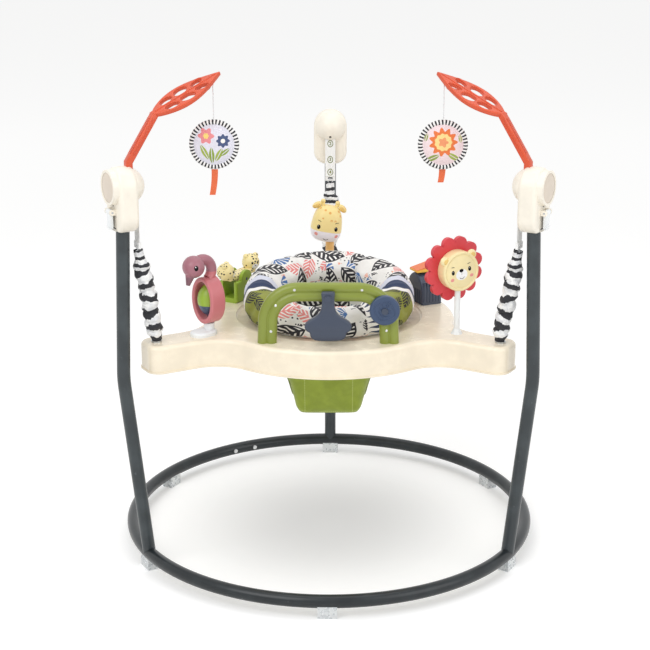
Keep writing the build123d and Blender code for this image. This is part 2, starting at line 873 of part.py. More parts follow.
def rocker():
    hub = Pos(0, 0, rocker_pivot) * Rot(0, 90, 0) * Cylinder(2.6 * pin_radius, rocker_width)
    beam_height = rocker_pivot + 2.6 * pin_radius
    beam = Pos(0, 0, beam_height) * Box(rocker_width, rocker_span, 10)
    beam = fillet(beam.edges(), 3)
    toy = hub + beam
    for side in (-1, 1):
        spot = Pos(0, side * rocker_span / 2, rocker_pivot + cat_height / 2)
        toy += spot * Rot(0, 0, side * cat_turn) * cat_head()
    bore = Pos(0, 0, rocker_pivot) * Rot(0, 90, 0) * Cylinder(pin_radius + pivot_gap, 2 * rocker_width)
    return on_rocker(toy - bore)


# Lion


def lion_frame():
    normal = polar(1, lion_turn)
    return Plane(origin=(*lion_place, tray_top + lion_height), z_dir=(*normal, 0))


def lion_post():
    top = lion_height - lion_face_radius - joint_gap
    stalk = Pos(0, 0, top / 2) * Cylinder(lion_post_radius, top)
    foot = extrude(Circle(lion_foot_radius), amount=lion_foot_radius, taper=28)
    return on_tray(stalk + foot, lion_place, lion_turn)


def lion_face():
    back = -lion_face_depth / 2
    drum = Pos(0, 0, 0) * Cylinder(lion_face_radius, lion_face_depth)
    drum = fillet(drum.edges().group_by(Axis.Z)[-1], 4)
    for side in (-1, 1):
        angle = 90 + side * 42
        spot = polar(lion_face_radius + lion_ear / 3, angle)
        drum += Pos(*spot, 0) * Sphere(lion_ear)
    drum -= Pos(0, 0, back) * Cylinder(pin_radius + pin_gap, lion_face_depth)
    return lion_frame() * Rot(0, 0, 0) * drum


def lion_mane():
    flower = Circle(mane_radius)
    for step in range(mane_petals):
        spot = polar(mane_radius, 360 * (step + 0.5) / mane_petals)
        flower += Pos(*spot) * Circle(mane_petal)
    plate = extrude(flower, amount=-mane_thickness) - Cylinder(pin_radius + pivot_gap, 60)
    back = -lion_face_depth / 2 - side_gap
    return lion_frame() * Pos(0, 0, back) * plate


def lion_axle():
    back = -lion_face_depth / 2 - 2 * side_gap - mane_thickness
    pin = Pos(0, 0, back / 2) * Cylinder(pin_radius, -back)
    head = Pos(0, 0, back - pin_head_height / 2) * Cylinder(pin_head, pin_head_height)
    return lion_frame() * (pin + head)


# Giraffe


def giraffe_foot():
    ring = extrude(Circle(giraffe_foot_radius), amount=giraffe_pivot, taper=12)
    ring -= Cylinder(giraffe_ball + soft_gap, 4 * giraffe_pivot)
    return on_tray(ring, (0, giraffe_out), giraffe_turn)


def giraffe_neck():
    ball = Pos(0, 0, giraffe_pivot) * Sphere(giraffe_ball)
    stalk = rod((0, 0, giraffe_pivot), (0, 0, giraffe_neck_height), giraffe_neck_radius)
    return on_tray(ball + stalk, (0, giraffe_out), giraffe_turn)


def giraffe_head():
    skull = Pos(0, 0, giraffe_head_height) * Sphere(giraffe_head_radius)
    chin = giraffe_head_height - 0.55 * giraffe_head_radius
    skull += Pos(0.5 * giraffe_muzzle, 0, chin) * Sphere(giraffe_muzzle)
    for side in (-1, 1):
        horn = (0, side * 0.42 * giraffe_head_radius, giraffe_head_height + 1.3 * giraffe_head_radius)
        root = (0, side * 0.36 * giraffe_head_radius, giraffe_head_height)
        skull += rod(root, horn, giraffe_horn)
        skull += Pos(*horn) * Sphere(1.4 * giraffe_horn)
        ear = (0, side * 1.1 * giraffe_head_radius, giraffe_head_height + 0.55 * giraffe_head_radius)
        skull += Pos(*ear) * Sphere(2 * giraffe_horn)
    cut = giraffe_neck_height + joint_gap
    skull -= Pos(0, 0, cut / 2) * Cylinder(giraffe_neck_radius + joint_gap, cut)
    return on_tray(skull, (0, giraffe_out), giraffe_turn)


# Sound box


def on_box(shape):
    return on_tray(shape, polar(box_circle, box_angle), box_angle)


def box_profile(inset):
    half = box_width / 2 - inset
    side = Pos(0, (box_height - half) / 2) * Rectangle(2 * half, box_height - half)
    return side + Pos(0, box_height - half - inset) * Circle(half)


def sound_box():
    body = extrude(Plane.YZ * box_profile(0), amount=box_depth / 2, both=True)
    ends = body.faces().sort_by(Axis.X)
    body = fillet(ends[0].edges() + ends[-1].edges(), box_edge)
    for step in range(flutes):
        across = 0.8 * box_width * ((step + 0.5) / flutes - 0.5)
        flute = Cylinder(flute_radius, box_height)
        body -= Pos(-box_depth / 2 - flute_radius / 2, across, 0) * flute
    body -= extrude(Plane.YZ * box_profile(2 * box_wall), amount=box_depth / 2 - 2 * box_wall, both=True)
    body -= Pos(0, 0, door_thickness) * box_door(box_wall)
    body -= Pos(0, 0, box_height) * Cylinder(key_stem + side_gap, box_height / 2)
    return on_box(body - Pos(0, 0, -box_height) * Box(2 * box_width, 2 * box_width, 2 * box_height))


def box_door(inset):
    return Box(box_depth - 2 * inset, box_width - 2 * inset, 2 * door_thickness)


def battery_door():
    door = Pos(0, 0, door_thickness) * box_door(box_wall + joint_gap)
    return on_box(door - Pos(0, 0, 2 * door_thickness) * Box(box_depth, box_width, 2 * door_thickness))


def beak_key():
    low = box_height + key_travel
    half = beak_length / 2
    slope = Polyline((-half, low), (half, low), (half, low + beak_thickness), (-half, low + beak_tip), close=True)
    wedge = extrude(Plane.XZ * make_face(slope), amount=box_width / 4, both=True)
    wedge = fillet(wedge.edges().filter_by(Axis.Y), beak_tip / 3)
    stem = rod((0, 0, low + beak_tip / 2), (0, 0, box_height - 4 * box_wall), key_stem)
    return on_box(wedge + stem)


def build():
    nodes = {
        "ring_couplers": ring_couplers(),
        "ring_screws": ring_screws(),
        "foot_pads": foot_pads(),
        "tray_shell": tray_shell(),
        "tray_underside": tray_underside(),
        "seat_ring": seat_ring(),
        "seat_retainer": seat_retainer(),
        "seat_pad": seat_pad(),
        "seat_sling": seat_sling(),
        "toy_arch": toy_arch(),
        "clacker": clacker(),
        "leaf_disc": leaf_disc(),
        "bird_foot": bird_foot(),
        "bird_body": bird_body(),
        "bird_egg": bird_egg(),
        "rocker_base": rocker_base(),
        "rocker": rocker(),
        "lion_post": lion_post(),
        "lion_face": lion_face(),
        "lion_mane": lion_mane(),
        "giraffe_foot": giraffe_foot(),
        "giraffe_neck": giraffe_neck(),
        "giraffe_head": giraffe_head(),
        "sound_box": sound_box(),
        "battery_door": battery_door(),
        "beak_key": beak_key(),
        "toy_axles": Compound(front_pins() + [bird_axle(), rocker_axle(), lion_axle()]),
        "spring_hooks": Compound([at_station(spring_hook(), name) for name in stations]),
        "springs": Compound([at_station(spring(), name) for name in stations]),
        "lever_pins": Compound([at_station(lever_pin(), name) for name in stations]),
    }
    for name, start in segment_starts.items():
        nodes["ring_segment_" + name] = ring_segment(start)
    for name in stations:
        nodes["post_" + name] = at_station(post(), name)
        nodes["tower_shell_" + name] = at_station(tower_shell(name != "rear"), name)
        nodes["tower_cover_" + name] = at_station(tower_cover(), name)
        nodes["lock_lever_" + name] = at_station(lock_lever(), name)
        nodes["strap_" + name] = at_station(strap(), name)
        nodes["sleeve_" + name] = at_station(sleeve(), name)
    for name in ribbon_lengths:
        nodes["leaf_arm_" + name] = at_station(leaf_arm(name), name)
        nodes["hang_cord_" + name] = at_station(hang_cord(name), name)
        nodes["hang_disc_" + name] = at_station(hang_disc(name), name)
        nodes["hang_ribbon_" + name] = at_station(hang_ribbon(name), name)
    return nodes


os.makedirs("parts", exist_ok=True)
for node, shape in build().items():
    export_step(shape, "parts/" + node + ".step")
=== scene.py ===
import bpy
import bmesh
from math import atan2, cos, hypot, pi, radians, sin
from mathutils import Matrix, Vector, noise
from mathutils.bvhtree import BVHTree


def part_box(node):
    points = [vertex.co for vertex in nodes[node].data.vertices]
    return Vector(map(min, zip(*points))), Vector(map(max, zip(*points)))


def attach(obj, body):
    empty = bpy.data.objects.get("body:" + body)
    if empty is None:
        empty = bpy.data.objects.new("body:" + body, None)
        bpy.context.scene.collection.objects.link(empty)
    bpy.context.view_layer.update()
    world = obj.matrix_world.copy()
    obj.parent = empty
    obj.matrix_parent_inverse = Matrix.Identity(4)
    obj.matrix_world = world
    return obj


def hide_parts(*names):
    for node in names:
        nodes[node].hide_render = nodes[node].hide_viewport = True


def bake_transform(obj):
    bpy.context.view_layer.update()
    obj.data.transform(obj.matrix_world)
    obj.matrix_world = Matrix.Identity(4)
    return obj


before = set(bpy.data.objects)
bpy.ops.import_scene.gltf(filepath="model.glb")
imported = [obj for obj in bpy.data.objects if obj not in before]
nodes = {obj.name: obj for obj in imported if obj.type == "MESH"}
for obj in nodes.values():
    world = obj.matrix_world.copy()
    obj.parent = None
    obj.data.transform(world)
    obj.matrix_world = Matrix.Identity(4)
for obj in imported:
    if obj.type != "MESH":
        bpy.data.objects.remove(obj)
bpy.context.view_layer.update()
print("frame loaded:", len(nodes), "solids")

# Pieces are drawn in millimetres, in the solids' own frame, and become metres in makeObject.
stations = {"left": -150, "right": -30, "rear": 90}
trayTop = 454

studio = {                                   # metres, the tones' reaches in millimetres
    "lens": 83.48,
    "sensor": 36,
    "farClip": 100,
    "cameraSpot": (0.0208, -2.8580, 1.3163),
    "target": (0.0, 0.0, 0.4298),
    "shift": -0.0061,
    "lampTarget": (0, 0, 0.45),
    "daylight": 0.62,
    "floorReach": 60.0,
    "floorTone": (0.93, 0.93, 0.925, 1),
    "floorShade": (0.56, 0.56, 0.565, 1),
    "shadeReach": (40, 440),
    "floorGlow": 0.22,
    "farGlow": 0.34,
    "farReach": (1200, 5000),
}
lamps = (                                    # name, spot, size, watts
    ("keyLamp", (-1.7, -2.3, 2.9), 2.4, 50),
    ("fillLamp", (2.4, -1.9, 1.9), 2.6, 30),
    ("topLamp", (0.1, 0.5, 3.3), 2.6, 19),
)


# Shader values

class Signal:
    def __init__(self, finish, socket):
        self.finish = finish
        self.socket = socket

    def maths(self, operation, *values):
        return self.finish.add("Math", {"operation": operation}, dict(enumerate(values)))

    def __add__(self, other):
        return self.maths("ADD", self, other)

    def __radd__(self, other):
        return self.maths("ADD", other, self)

    def __sub__(self, other):
        return self.maths("SUBTRACT", self, other)

    def __rsub__(self, other):
        return self.maths("SUBTRACT", other, self)

    def __mul__(self, other):
        return self.maths("MULTIPLY", self, other)

    def __rmul__(self, other):
        return self.maths("MULTIPLY", other, self)

    def __truediv__(self, other):
        return self.maths("DIVIDE", self, other)

    def __pow__(self, other):
        return self.maths("POWER", self, other)

    def __lt__(self, other):
        return self.maths("LESS_THAN", self, other)

    def __abs__(self):
        return self.maths("ABSOLUTE", self)

    def wave(self):
        return self.maths("SINE", self)

    def part(self):
        return self.maths("FRACT", self)

    def either(self, other):
        return self.maths("MAXIMUM", self, other)

    def angle(self, x):                      # of the point whose height is this value
        return self.maths("ARCTAN2", self, x)

    def rise(self, low, high):               # 0 below low, 1 above high, smooth between
        ends = {"Value": self, "From Min": low, "From Max": high}
        return self.finish.add("MapRange", {"interpolation_type": "SMOOTHSTEP"}, ends)


class Finish:
    def __init__(self, name, **fixed):
        self.material = bpy.data.materials.new(name)
        self.material.use_nodes = True
        self.tree = self.material.node_tree
        self.shader = self.tree.nodes["Principled BSDF"]
        self.set(**fixed)

    def feed(self, socket, value):
        if isinstance(value, Signal):
            self.tree.links.new(value.socket, socket)
        else:
            socket.default_value = value

    def add(self, kind, settings=None, sockets=None, out=0):
        node = self.tree.nodes.new("ShaderNode" + kind)
        for label, value in (settings or {}).items():
            setattr(node, label, value)
        for label, value in (sockets or {}).items():
            self.feed(node.inputs[label], value)
        return Signal(self, node.outputs[out])

    def set(self, **links):
        for label, value in links.items():
            self.feed(self.shader.inputs[label.replace("_", " ")], value)

    def mix(self, mask, under, over):
        return self.add("Mix", {"data_type": "RGBA"}, {0: mask, 6: under, 7: over}, out=2)

    def mottle(self, cloud, under, over):          # two near tones in soft patches
        return self.mix(cloud.rise(0.3, 0.7), under, over)

    def spot(self, centre=(0, 0, 0), turn=0):      # Object coordinates in mm about a point
        raw = self.add("TexCoord", out="Object")
        sockets = {"Vector": raw, "Location": [-c / 1000 for c in centre]}
        moved = self.add("Mapping", {"vector_type": "POINT"}, sockets)
        if turn:
            moved = self.add("VectorRotate", {"rotation_type": "Z_AXIS"},
                             {"Vector": moved, "Angle": radians(-turn)})
        return self.add("VectorMath", {"operation": "SCALE"}, {"Vector": moved, "Scale": 1000})

    def cloth(self):                               # the piece's own UV map, in mm
        raw = self.add("UVMap", {"uv_map": "cloth"})
        return self.add("VectorMath", {"operation": "SCALE"}, {"Vector": raw, "Scale": 1000})

    def axes(self, vector):
        node = self.add("SeparateXYZ", None, {"Vector": vector}).socket.node
        return [Signal(self, socket) for socket in node.outputs]

    def grain(self, vector, scale, detail):
        return self.add("TexNoise", None, {"Vector": vector, "Scale": scale, "Detail": detail})

    def relief(self, height, strength, distance):
        sockets = {"Height": height, "Strength": strength, "Distance": distance / 1000}
        self.set(Normal=self.add("Bump", None, sockets))


def tint(code):
    channels = [int(code[i:i + 2], 16) / 255 for i in (0, 2, 4)]
    return [c / 12.92 if c <= 0.04045 else ((c + 0.055) / 1.055) ** 2.4 for c in channels] + [1]


def shade(colour, amount):
    return [min(1, c * amount) for c in colour[:3]] + [1]


# Plain finishes

def moulded(name, code, rough, colourOf=None, coat=0.12):
    finish = Finish(name, Specular_IOR_Level=0.45, Coat_Weight=coat, Coat_Roughness=0.25)
    spot = finish.spot()
    cloud = finish.grain(spot, 0.035, 3)
    speck = finish.grain(spot, 2.6, 2)
    colour = tint(code)
    if colourOf:
        base = colourOf(finish)
    else:
        base = finish.mottle(cloud, shade(colour, 0.97), shade(colour, 1.03))
    finish.set(Base_Color=base, Roughness=rough + (cloud - 0.5) * 0.10 + (speck - 0.5) * 0.06)
    finish.relief(speck + cloud * 2, 0.16, 0.05)
    return finish


def powderCoat(name, dark, pale):
    finish = Finish(name, Specular_IOR_Level=0.32, Coat_Weight=0.15, Coat_Roughness=0.16)
    spot = finish.spot()
    peel = finish.grain(spot, 0.55, 2)
    cloud = finish.grain(spot, 0.02, 3)
    scuff = finish.grain(spot, 0.12, 6).rise(0.68, 0.78)
    base = finish.mix(cloud.rise(0.35, 0.7), tint(dark), tint(pale))
    finish.set(Base_Color=finish.mix(scuff * 0.35, base, tint("666c70")))
    finish.set(Roughness=0.3 + (cloud - 0.5) * 0.12 + scuff * 0.12)
    finish.relief(peel, 0.12, 0.2)
    return finish


def steelWire(name, code, rough):
    finish = Finish(name, Metallic=1.0)
    spot = finish.spot()
    brushed = finish.grain(spot, 1.2, 4)
    finish.set(Base_Color=finish.mix(brushed, shade(tint(code), 0.85), tint(code)))
    finish.set(Roughness=rough + (brushed - 0.5) * 0.2)
    finish.relief(brushed, 0.1, 0.04)
    return finish


def clearFoot():
    finish = Finish("clearFoot", Transmission_Weight=0.35, IOR=1.46, Specular_IOR_Level=0.5)
    cloud = finish.grain(finish.spot(), 0.12, 3)
    finish.set(Base_Color=finish.mottle(cloud, tint("e6ebee"), tint("f6f8f8")))
    finish.set(Roughness=0.28 + (cloud - 0.5) * 0.15)
    finish.relief(cloud, 0.06, 0.2)
    return finish


def weave(finish, along, across, pitch, strength):
    warp = (along * (2 * pi / pitch)).wave()
    weft = (across * (2 * pi / pitch)).wave()
    finish.relief(warp * weft, strength, 0.12)


# One powder coat in two tones: the ring's darker copy is painted shade and the posts' lighter copy painted
# light.
shadedRingCoat = powderCoat("shadedRingCoat", "1f2427", "292f32")
litPostCoat = powderCoat("litPostCoat", "343a3d", "40474a")
clear = clearFoot()
steel = steelWire("brightSteel", "c9ccce", 0.3)
zincScrew = steelWire("zincScrew", "d9dadb", 0.35)
cream = moulded("creamPlastic", "f5eee0", 0.34)
trayCream = moulded("trayCream", "f3e7d0", 0.26, coat=0.3)
beige = moulded("capBeige", "dccfbf", 0.4)
whitePlastic = moulded("whitePlastic", "eef1f2", 0.32)
coral = moulded("coralPlastic", "d6532f", 0.34)
olive = moulded("olivePlastic", "838f33", 0.3, coat=0.25)
slate = moulded("slatePlastic", "3b4456", 0.38)
navy = moulded("navyPlastic", "344766", 0.4)
lime = moulded("limePlastic", "97b53a", 0.35)
red = moulded("redPlastic", "d8404a", 0.36)
yellow = moulded("yellowPlastic", "f6e5b0", 0.36)
inkBlack = moulded("eyeBlack", "0b0b0d", 0.4, coat=0.05)
inkBlack.set(Specular_IOR_Level=0.12)
# White for printed muzzles, and for the white dots on the eyes, which are painted highlights.
whiteInkAndGlint = moulded("whitePrintAndGlint", "fafafa", 0.28)
cheekPink = moulded("cheekPink", "eb9a92", 0.45)
# Near black for the tower's screw heads and slot, painted shade of the holes and the slot's recess.
paintedRecessShade = moulded("recessShadeDark", "2b2b2b", 0.6)
panelGrey = moulded("panelGrey", "cdc7ba", 0.45)
print("plain finishes ready")


# Shape helpers

def facing(direction, spot):
    turn = Vector(direction).to_track_quat("Z", "Y").to_matrix().to_4x4()
    return Matrix.Translation(spot) @ turn


def atStation(name):
    return Matrix.Rotation(radians(stations[name]), 4, "Z")


def onTray(place, turn):
    return Matrix.Translation((*place, trayTop)) @ Matrix.Rotation(radians(turn), 4, "Z")


def onCircle(radius, angle):
    return radius * cos(radians(angle)), radius * sin(radians(angle))


def join(shape, part, place=Matrix(), paint=0):   # one finished part into the piece
    bmesh.ops.remove_doubles(part, verts=part.verts, dist=0.001)
    bmesh.ops.recalc_face_normals(part, faces=part.faces)
    bmesh.ops.transform(part, matrix=place, verts=part.verts)
    for face in part.faces:
        face.material_index = paint
    mesh = bpy.data.meshes.new("part")
    part.to_mesh(mesh)
    part.free()
    shape.from_mesh(mesh)
    bpy.data.meshes.remove(mesh)


def addBall(shape, place, radii, paint, rings):
    part = bmesh.new()
    bmesh.ops.create_uvsphere(part, u_segments=2 * rings, v_segments=rings, radius=1)
    bmesh.ops.scale(part, vec=radii, verts=part.verts)
    join(shape, part, place, paint)


def addRod(shape, begin, end, radius, tip=None, paint=0, sides=20):
    part = bmesh.new()
    begin, end = Vector(begin), Vector(end)
    bmesh.ops.create_cone(part, cap_ends=True, segments=sides, radius1=radius,
                          radius2=radius if tip is None else tip, depth=(end - begin).length)
    join(shape, part, facing(end - begin, (begin + end) / 2), paint)


def addLathe(shape, profile, place, paint, steps):
    part = bmesh.new()
    verts = [part.verts.new((radius, 0, height)) for radius, height in profile]
    edges = [part.edges.new(pair) for pair in zip(verts, verts[1:])]
    bmesh.ops.spin(part, geom=verts + edges, cent=(0, 0, 0), axis=(0, 0, 1), angle=2 * pi,
                   steps=steps, use_merge=True)
    join(shape, part, place, paint)


def addHoop(shape, radius, wire, place, paint, steps, sides=8, flat=1.0):
    turns = [2 * pi * k / sides for k in range(sides)]
    ring = [(radius + wire * cos(turn), flat * wire * sin(turn)) for turn in turns]
    addLathe(shape, ring + ring[:1], place, paint, steps)


def addBlock(shape, spot, size):
    bmesh.ops.create_cube(shape, size=1, matrix=Matrix.Translation(spot) @ Matrix.Diagonal((*size, 1)))


def addSlab(shape, outline, depth, place, edge, paint):
    part = bmesh.new()
    face = part.faces.new([part.verts.new((x, y, 0)) for x, y in outline])
    made = bmesh.ops.extrude_face_region(part, geom=[face], use_keep_orig=True)
    top = [item for item in made["geom"] if isinstance(item, bmesh.types.BMVert)]
    bmesh.ops.translate(part, vec=(0, 0, depth), verts=top)
    rim = [e for e in part.edges if min(v.co.z for v in e.verts) > depth / 2]
    bmesh.ops.bevel(part, geom=rim, offset=edge, offset_type="OFFSET", segments=2, profile=0.5,
                    affect="EDGES", material=-1)
    join(shape, part, place, paint)


def bringIn(shape, holder, place=Matrix(), paint=0):    # a curve or text object as mesh
    data = holder.data
    mesh = bpy.data.meshes.new_from_object(holder)
    part = bmesh.new()
    part.from_mesh(mesh)
    bpy.data.objects.remove(holder)
    bpy.data.curves.remove(data)
    bpy.data.meshes.remove(mesh)
    join(shape, part, place, paint)


def drawSpline(curve, kind, spots, cyclic):
    spline = curve.splines.new(kind)
    spline.points.add(len(spots) - 1)
    for point, spot in zip(spline.points, spots):
        point.co = (*spot, 1)
    spline.use_cyclic_u = cyclic
    if kind == "NURBS":
        spline.order_u = 3
        spline.use_endpoint_u = not cyclic


def addPlate(shape, outlines, half, place, edge):       # a rounded plate, the later outlines are holes
    curve = bpy.data.curves.new("plate", "CURVE")
    curve.dimensions = "2D"
    curve.fill_mode = "BOTH"
    curve.extrude = half - edge
    curve.bevel_depth = edge
    curve.bevel_resolution = 2
    curve.offset = -edge
    for outline in outlines:
        drawSpline(curve, "POLY", [(x, y, 0) for x, y in outline], True)
    bringIn(shape, bpy.data.objects.new("plate", curve), place)


def wireCurve(name, spots, radius, cyclic=False, fineness=6):
    curve = bpy.data.curves.new(name, "CURVE")
    curve.dimensions = "3D"
    curve.bevel_depth = radius
    curve.bevel_resolution = 3
    curve.use_fill_caps = True
    curve.resolution_u = fineness
    drawSpline(curve, "NURBS", spots, cyclic)
    return curve


def addWire(shape, spots, radius, cyclic=False):
    bringIn(shape, bpy.data.objects.new("wire", wireCurve("wire", spots, radius, cyclic)))


def openTube(around, rows):                    # a cloth tube of radius 1 and height 1
    shape = bmesh.new()
    bmesh.ops.create_cone(shape, cap_ends=False, segments=around, radius1=1, radius2=1, depth=1,
                          matrix=Matrix.Translation((0, 0, 0.5)))
    upright = [e for e in shape.edges if abs(e.verts[0].co.z - e.verts[1].co.z) > 0.5]
    bmesh.ops.subdivide_edges(shape, edges=upright, cuts=rows, use_grid_fill=True)
    return shape


def unwrapped(turns):                          # a face's turns without the jump at half a turn
    wraps = max(turns) - min(turns) > pi
    return [turn + 2 * pi if wraps and turn < 0 else turn for turn in turns]


def between(value, low, high):                 # 0 at low, 1 at high
    return min(1, max(0, (value - low) / (high - low)))


skins = {}


def touch(node, origin, direction):            # where a line first meets a solid, in mm
    if node not in skins:
        mesh = nodes[node].data
        corners = [v.co * 1000 for v in mesh.vertices]
        skins[node] = BVHTree.FromPolygons(corners, [tuple(p.vertices) for p in mesh.polygons])
    spot, normal = skins[node].ray_cast(Vector(origin), Vector(direction).normalized())[:2]
    if spot is None:
        raise ValueError("no surface of " + node + " at " + str(origin))
    return spot, -normal if normal.dot(Vector(direction)) > 0 else normal


def makeObject(name, shape, finishes, sharp=38):
    bmesh.ops.remove_doubles(shape, verts=shape.verts, dist=0.002)
    bmesh.ops.recalc_face_normals(shape, faces=shape.faces)
    bmesh.ops.scale(shape, vec=(0.001, 0.001, 0.001), verts=shape.verts)
    mesh = bpy.data.meshes.new(name)
    shape.to_mesh(mesh)
    shape.free()
    for finish in finishes:
        mesh.materials.append(finish.material)
    for polygon in mesh.polygons:
        polygon.use_smooth = True
    mesh.set_sharp_from_angle(angle=radians(sharp))
    made = bpy.data.objects.new(name, mesh)
    bpy.context.scene.collection.objects.link(made)
    return made


def makePiece(name, shape, finishes, body, hides=(), sharp=38):
    made = makeObject(name, shape, finishes, sharp)
    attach(made, body)
    if hides:
        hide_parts(*hides)
    return made


# Camera, floor and lamps

camera = bpy.data.objects.new("camera", bpy.data.cameras.new("camera"))
camera.data.lens = studio["lens"]
camera.data.sensor_width = studio["sensor"]
camera.data.shift_x = studio["shift"]
camera.data.clip_end = studio["farClip"]
camera.location = studio["cameraSpot"]
aim = Vector(studio["target"]) - Vector(studio["cameraSpot"])
camera.rotation_euler = aim.to_track_quat("-Z", "Y").to_euler()
bpy.context.scene.collection.objects.link(camera)
bpy.context.scene.camera = camera
bpy.context.scene.view_settings.view_transform = "Standard"

for lampName, lampSpot, lampSize, lampWatts in lamps:
    lamp = bpy.data.objects.new(lampName, bpy.data.lights.new(lampName, "AREA"))
    lamp.data.size = lampSize
    lamp.data.energy = lampWatts
    lamp.location = lampSpot
    aim = Vector(studio["lampTarget"]) - Vector(lampSpot)
    lamp.rotation_euler = aim.to_track_quat("-Z", "Y").to_euler()
    bpy.context.scene.collection.objects.link(lamp)

world = bpy.data.worlds.new("studio")
bpy.context.scene.world = world
world.use_nodes = True
worldNodes, worldLinks = world.node_tree.nodes, world.node_tree.links
skyRays = worldNodes.new("ShaderNodeLightPath").outputs
seenRays = ("Is Camera Ray", "Is Glossy Ray", "Is Transmission Ray")
seen = skyRays[seenRays[0]]
for label in seenRays[1:]:
    either = worldNodes.new("ShaderNodeMath")
    either.operation = "MAXIMUM"
    worldLinks.new(seen, either.inputs[0])
    worldLinks.new(skyRays[label], either.inputs[1])
    seen = either.outputs[0]
level = worldNodes.new("ShaderNodeMapRange")
level.inputs["To Min"].default_value = studio["daylight"]
level.inputs["To Max"].default_value = 1.0
worldLinks.new(seen, level.inputs["Value"])
worldLinks.new(level.outputs[0], worldNodes["Background"].inputs["Strength"])
worldNodes["Background"].inputs["Color"].default_value = (1, 1, 1, 1)

floorFinish = Finish("paleFloor", Specular_IOR_Level=0.0, Roughness=0.9)
floorX, floorY = floorFinish.axes(floorFinish.spot())[:2]
floorOut = (floorX * floorX + floorY * floorY) ** 0.5
# The floor is painted darker towards the middle: a painted shadow under the tray.
floorShade = 1 - floorOut.rise(*studio["shadeReach"])
floorBase = floorFinish.mix(floorShade, studio["floorTone"], studio["floorShade"])
floorFinish.set(Base_Color=floorBase, Emission_Strength=1.0)
floorRays = floorFinish.add("LightPath").socket.node.outputs
floorSeen = Signal(floorFinish, floorRays[seenRays[0]])
for label in seenRays[1:]:
    floorSeen = floorSeen.either(Signal(floorFinish, floorRays[label]))
nearGlow, farGlow = ((glow, glow, glow, 1) for glow in (studio["floorGlow"], studio["farGlow"]))
glowTone = floorFinish.mix(floorOut.rise(*studio["farReach"]), nearGlow, farGlow)
floorFinish.set(Emission_Color=floorFinish.mix(floorSeen, (0, 0, 0, 1), glowTone))
floorShape = bmesh.new()
bmesh.ops.create_grid(floorShape, x_segments=1, y_segments=1, size=studio["floorReach"] * 1000)
floor = makeObject("floor", floorShape, [floorFinish])
print("camera, floor and lamps set")


# Hanging toys: cord, padded disc and ribbon tail

hanging = {
    "cordRadius": 1.0,
    "softGap": 0.4,
    "discHeight": 814,
    "discRadius": 46,
    "borderRadius": 5.2,
    "discDepth": 24,
    "edgeHalf": 1.2,
    "swellPower": 2.6,
    "swellSteps": (0, 0.12, 0.25, 0.38, 0.5, 0.62, 0.73, 0.82, 0.9, 0.96, 1),
    "fill": 0.75,
    "pleats": 17,
    "pleatStart": 0.55,
    "pleatDepth": 4.2,
    "ruffles": 31,
    "ruffleDepth": 0.5,
    "borderStripes": 42,
    "ribbonWidth": 12,
    "ribbonLength": {"left": 48, "right": 24},
    "ribbonLean": {"left": 5, "right": 3},
    "ribbonTaper": 0.10,
    "ribbonWave": 1.6,
    "ribbonTwist": 0.8,
    "ribbonThickness": 1.0,
}


def leafMask(x, y, centre, length, width, turn):      # a pointed leaf without its vein
    c, s = cos(radians(turn)), sin(radians(turn))
    along = ((x - centre[0]) * c + (y - centre[1]) * s) / length
    across = abs((y - centre[1]) * c - (x - centre[0]) * s)
    edge = width * (1 - along * along)
    vein = (0.7 - across).rise(-0.2, 0.2)
    return (edge - across).rise(-0.25, 0.25) * (1 - vein)


def bloomMask(x, y, centre, radius, petals, depth):
    dx, dy = x - centre[0], y - centre[1]
    reach = (dx * dx + dy * dy) ** 0.5
    petal = dy.angle(dx) * petals
    return (radius + petal.maths("COSINE", petal) * depth - reach).rise(-0.3, 0.3)


def discPrint(name, centre, bloom, sprigs, ground):
    finish = Finish(name + "DiscPrint", Sheen_Weight=0.35, Sheen_Roughness=0.5, Roughness=0.82)
    x, z = finish.axes(finish.spot(centre))[::2]
    cloud = finish.grain(finish.spot(), 0.06, 3)
    base = finish.mottle(cloud, tint(ground), shade(tint(ground), 0.94))
    for spot, length, width, turn, code in sprigs:
        base = finish.mix(leafMask(x, z, spot, length, width, turn), base, tint(code))
    for spot, radius, petals, depth, code in bloom:
        base = finish.mix(bloomMask(x, z, spot, radius, petals, depth), base, tint(code))
    finish.set(Base_Color=base)
    weave(finish, x, z, 0.9, 0.35)
    return finish


def stripedBorder(name, centre):
    finish = Finish(name + "Border", Sheen_Weight=0.3, Roughness=0.8)
    x, z = finish.axes(finish.spot(centre))[::2]
    wobble = finish.grain(finish.spot(), 0.15, 2)
    stripe = (z.angle(x) * hanging["borderStripes"] + (wobble - 0.5) * 1.4).wave().rise(-0.15, 0.15)
    finish.set(Base_Color=finish.mix(stripe, tint("1f2026"), tint("f4f3f1")))
    weave(finish, x, z, 0.8, 0.4)
    return finish


ribbonCloth = Finish("ribbonCloth", Sheen_Weight=0.3, Roughness=0.7)
ribbonSpot = ribbonCloth.axes(ribbonCloth.cloth())
ribbonRib = (ribbonSpot[1] * 5.0).wave()
ribbonCloth.set(Base_Color=ribbonCloth.mix(ribbonRib.rise(-1, 1), tint("d9592f"), tint("ee7a4a")))
ribbonCloth.relief(ribbonRib, 0.5, 0.2)

cordThread = Finish("cordThread", Roughness=0.75)
cordTwist = (cordThread.axes(cordThread.spot())[2] * 3.2).wave()
cordThread.set(Base_Color=cordThread.mix(cordTwist.rise(-1, 1), tint("d9dcde"), tint("f7f8f8")))
cordThread.relief(cordTwist, 0.4, 0.2)

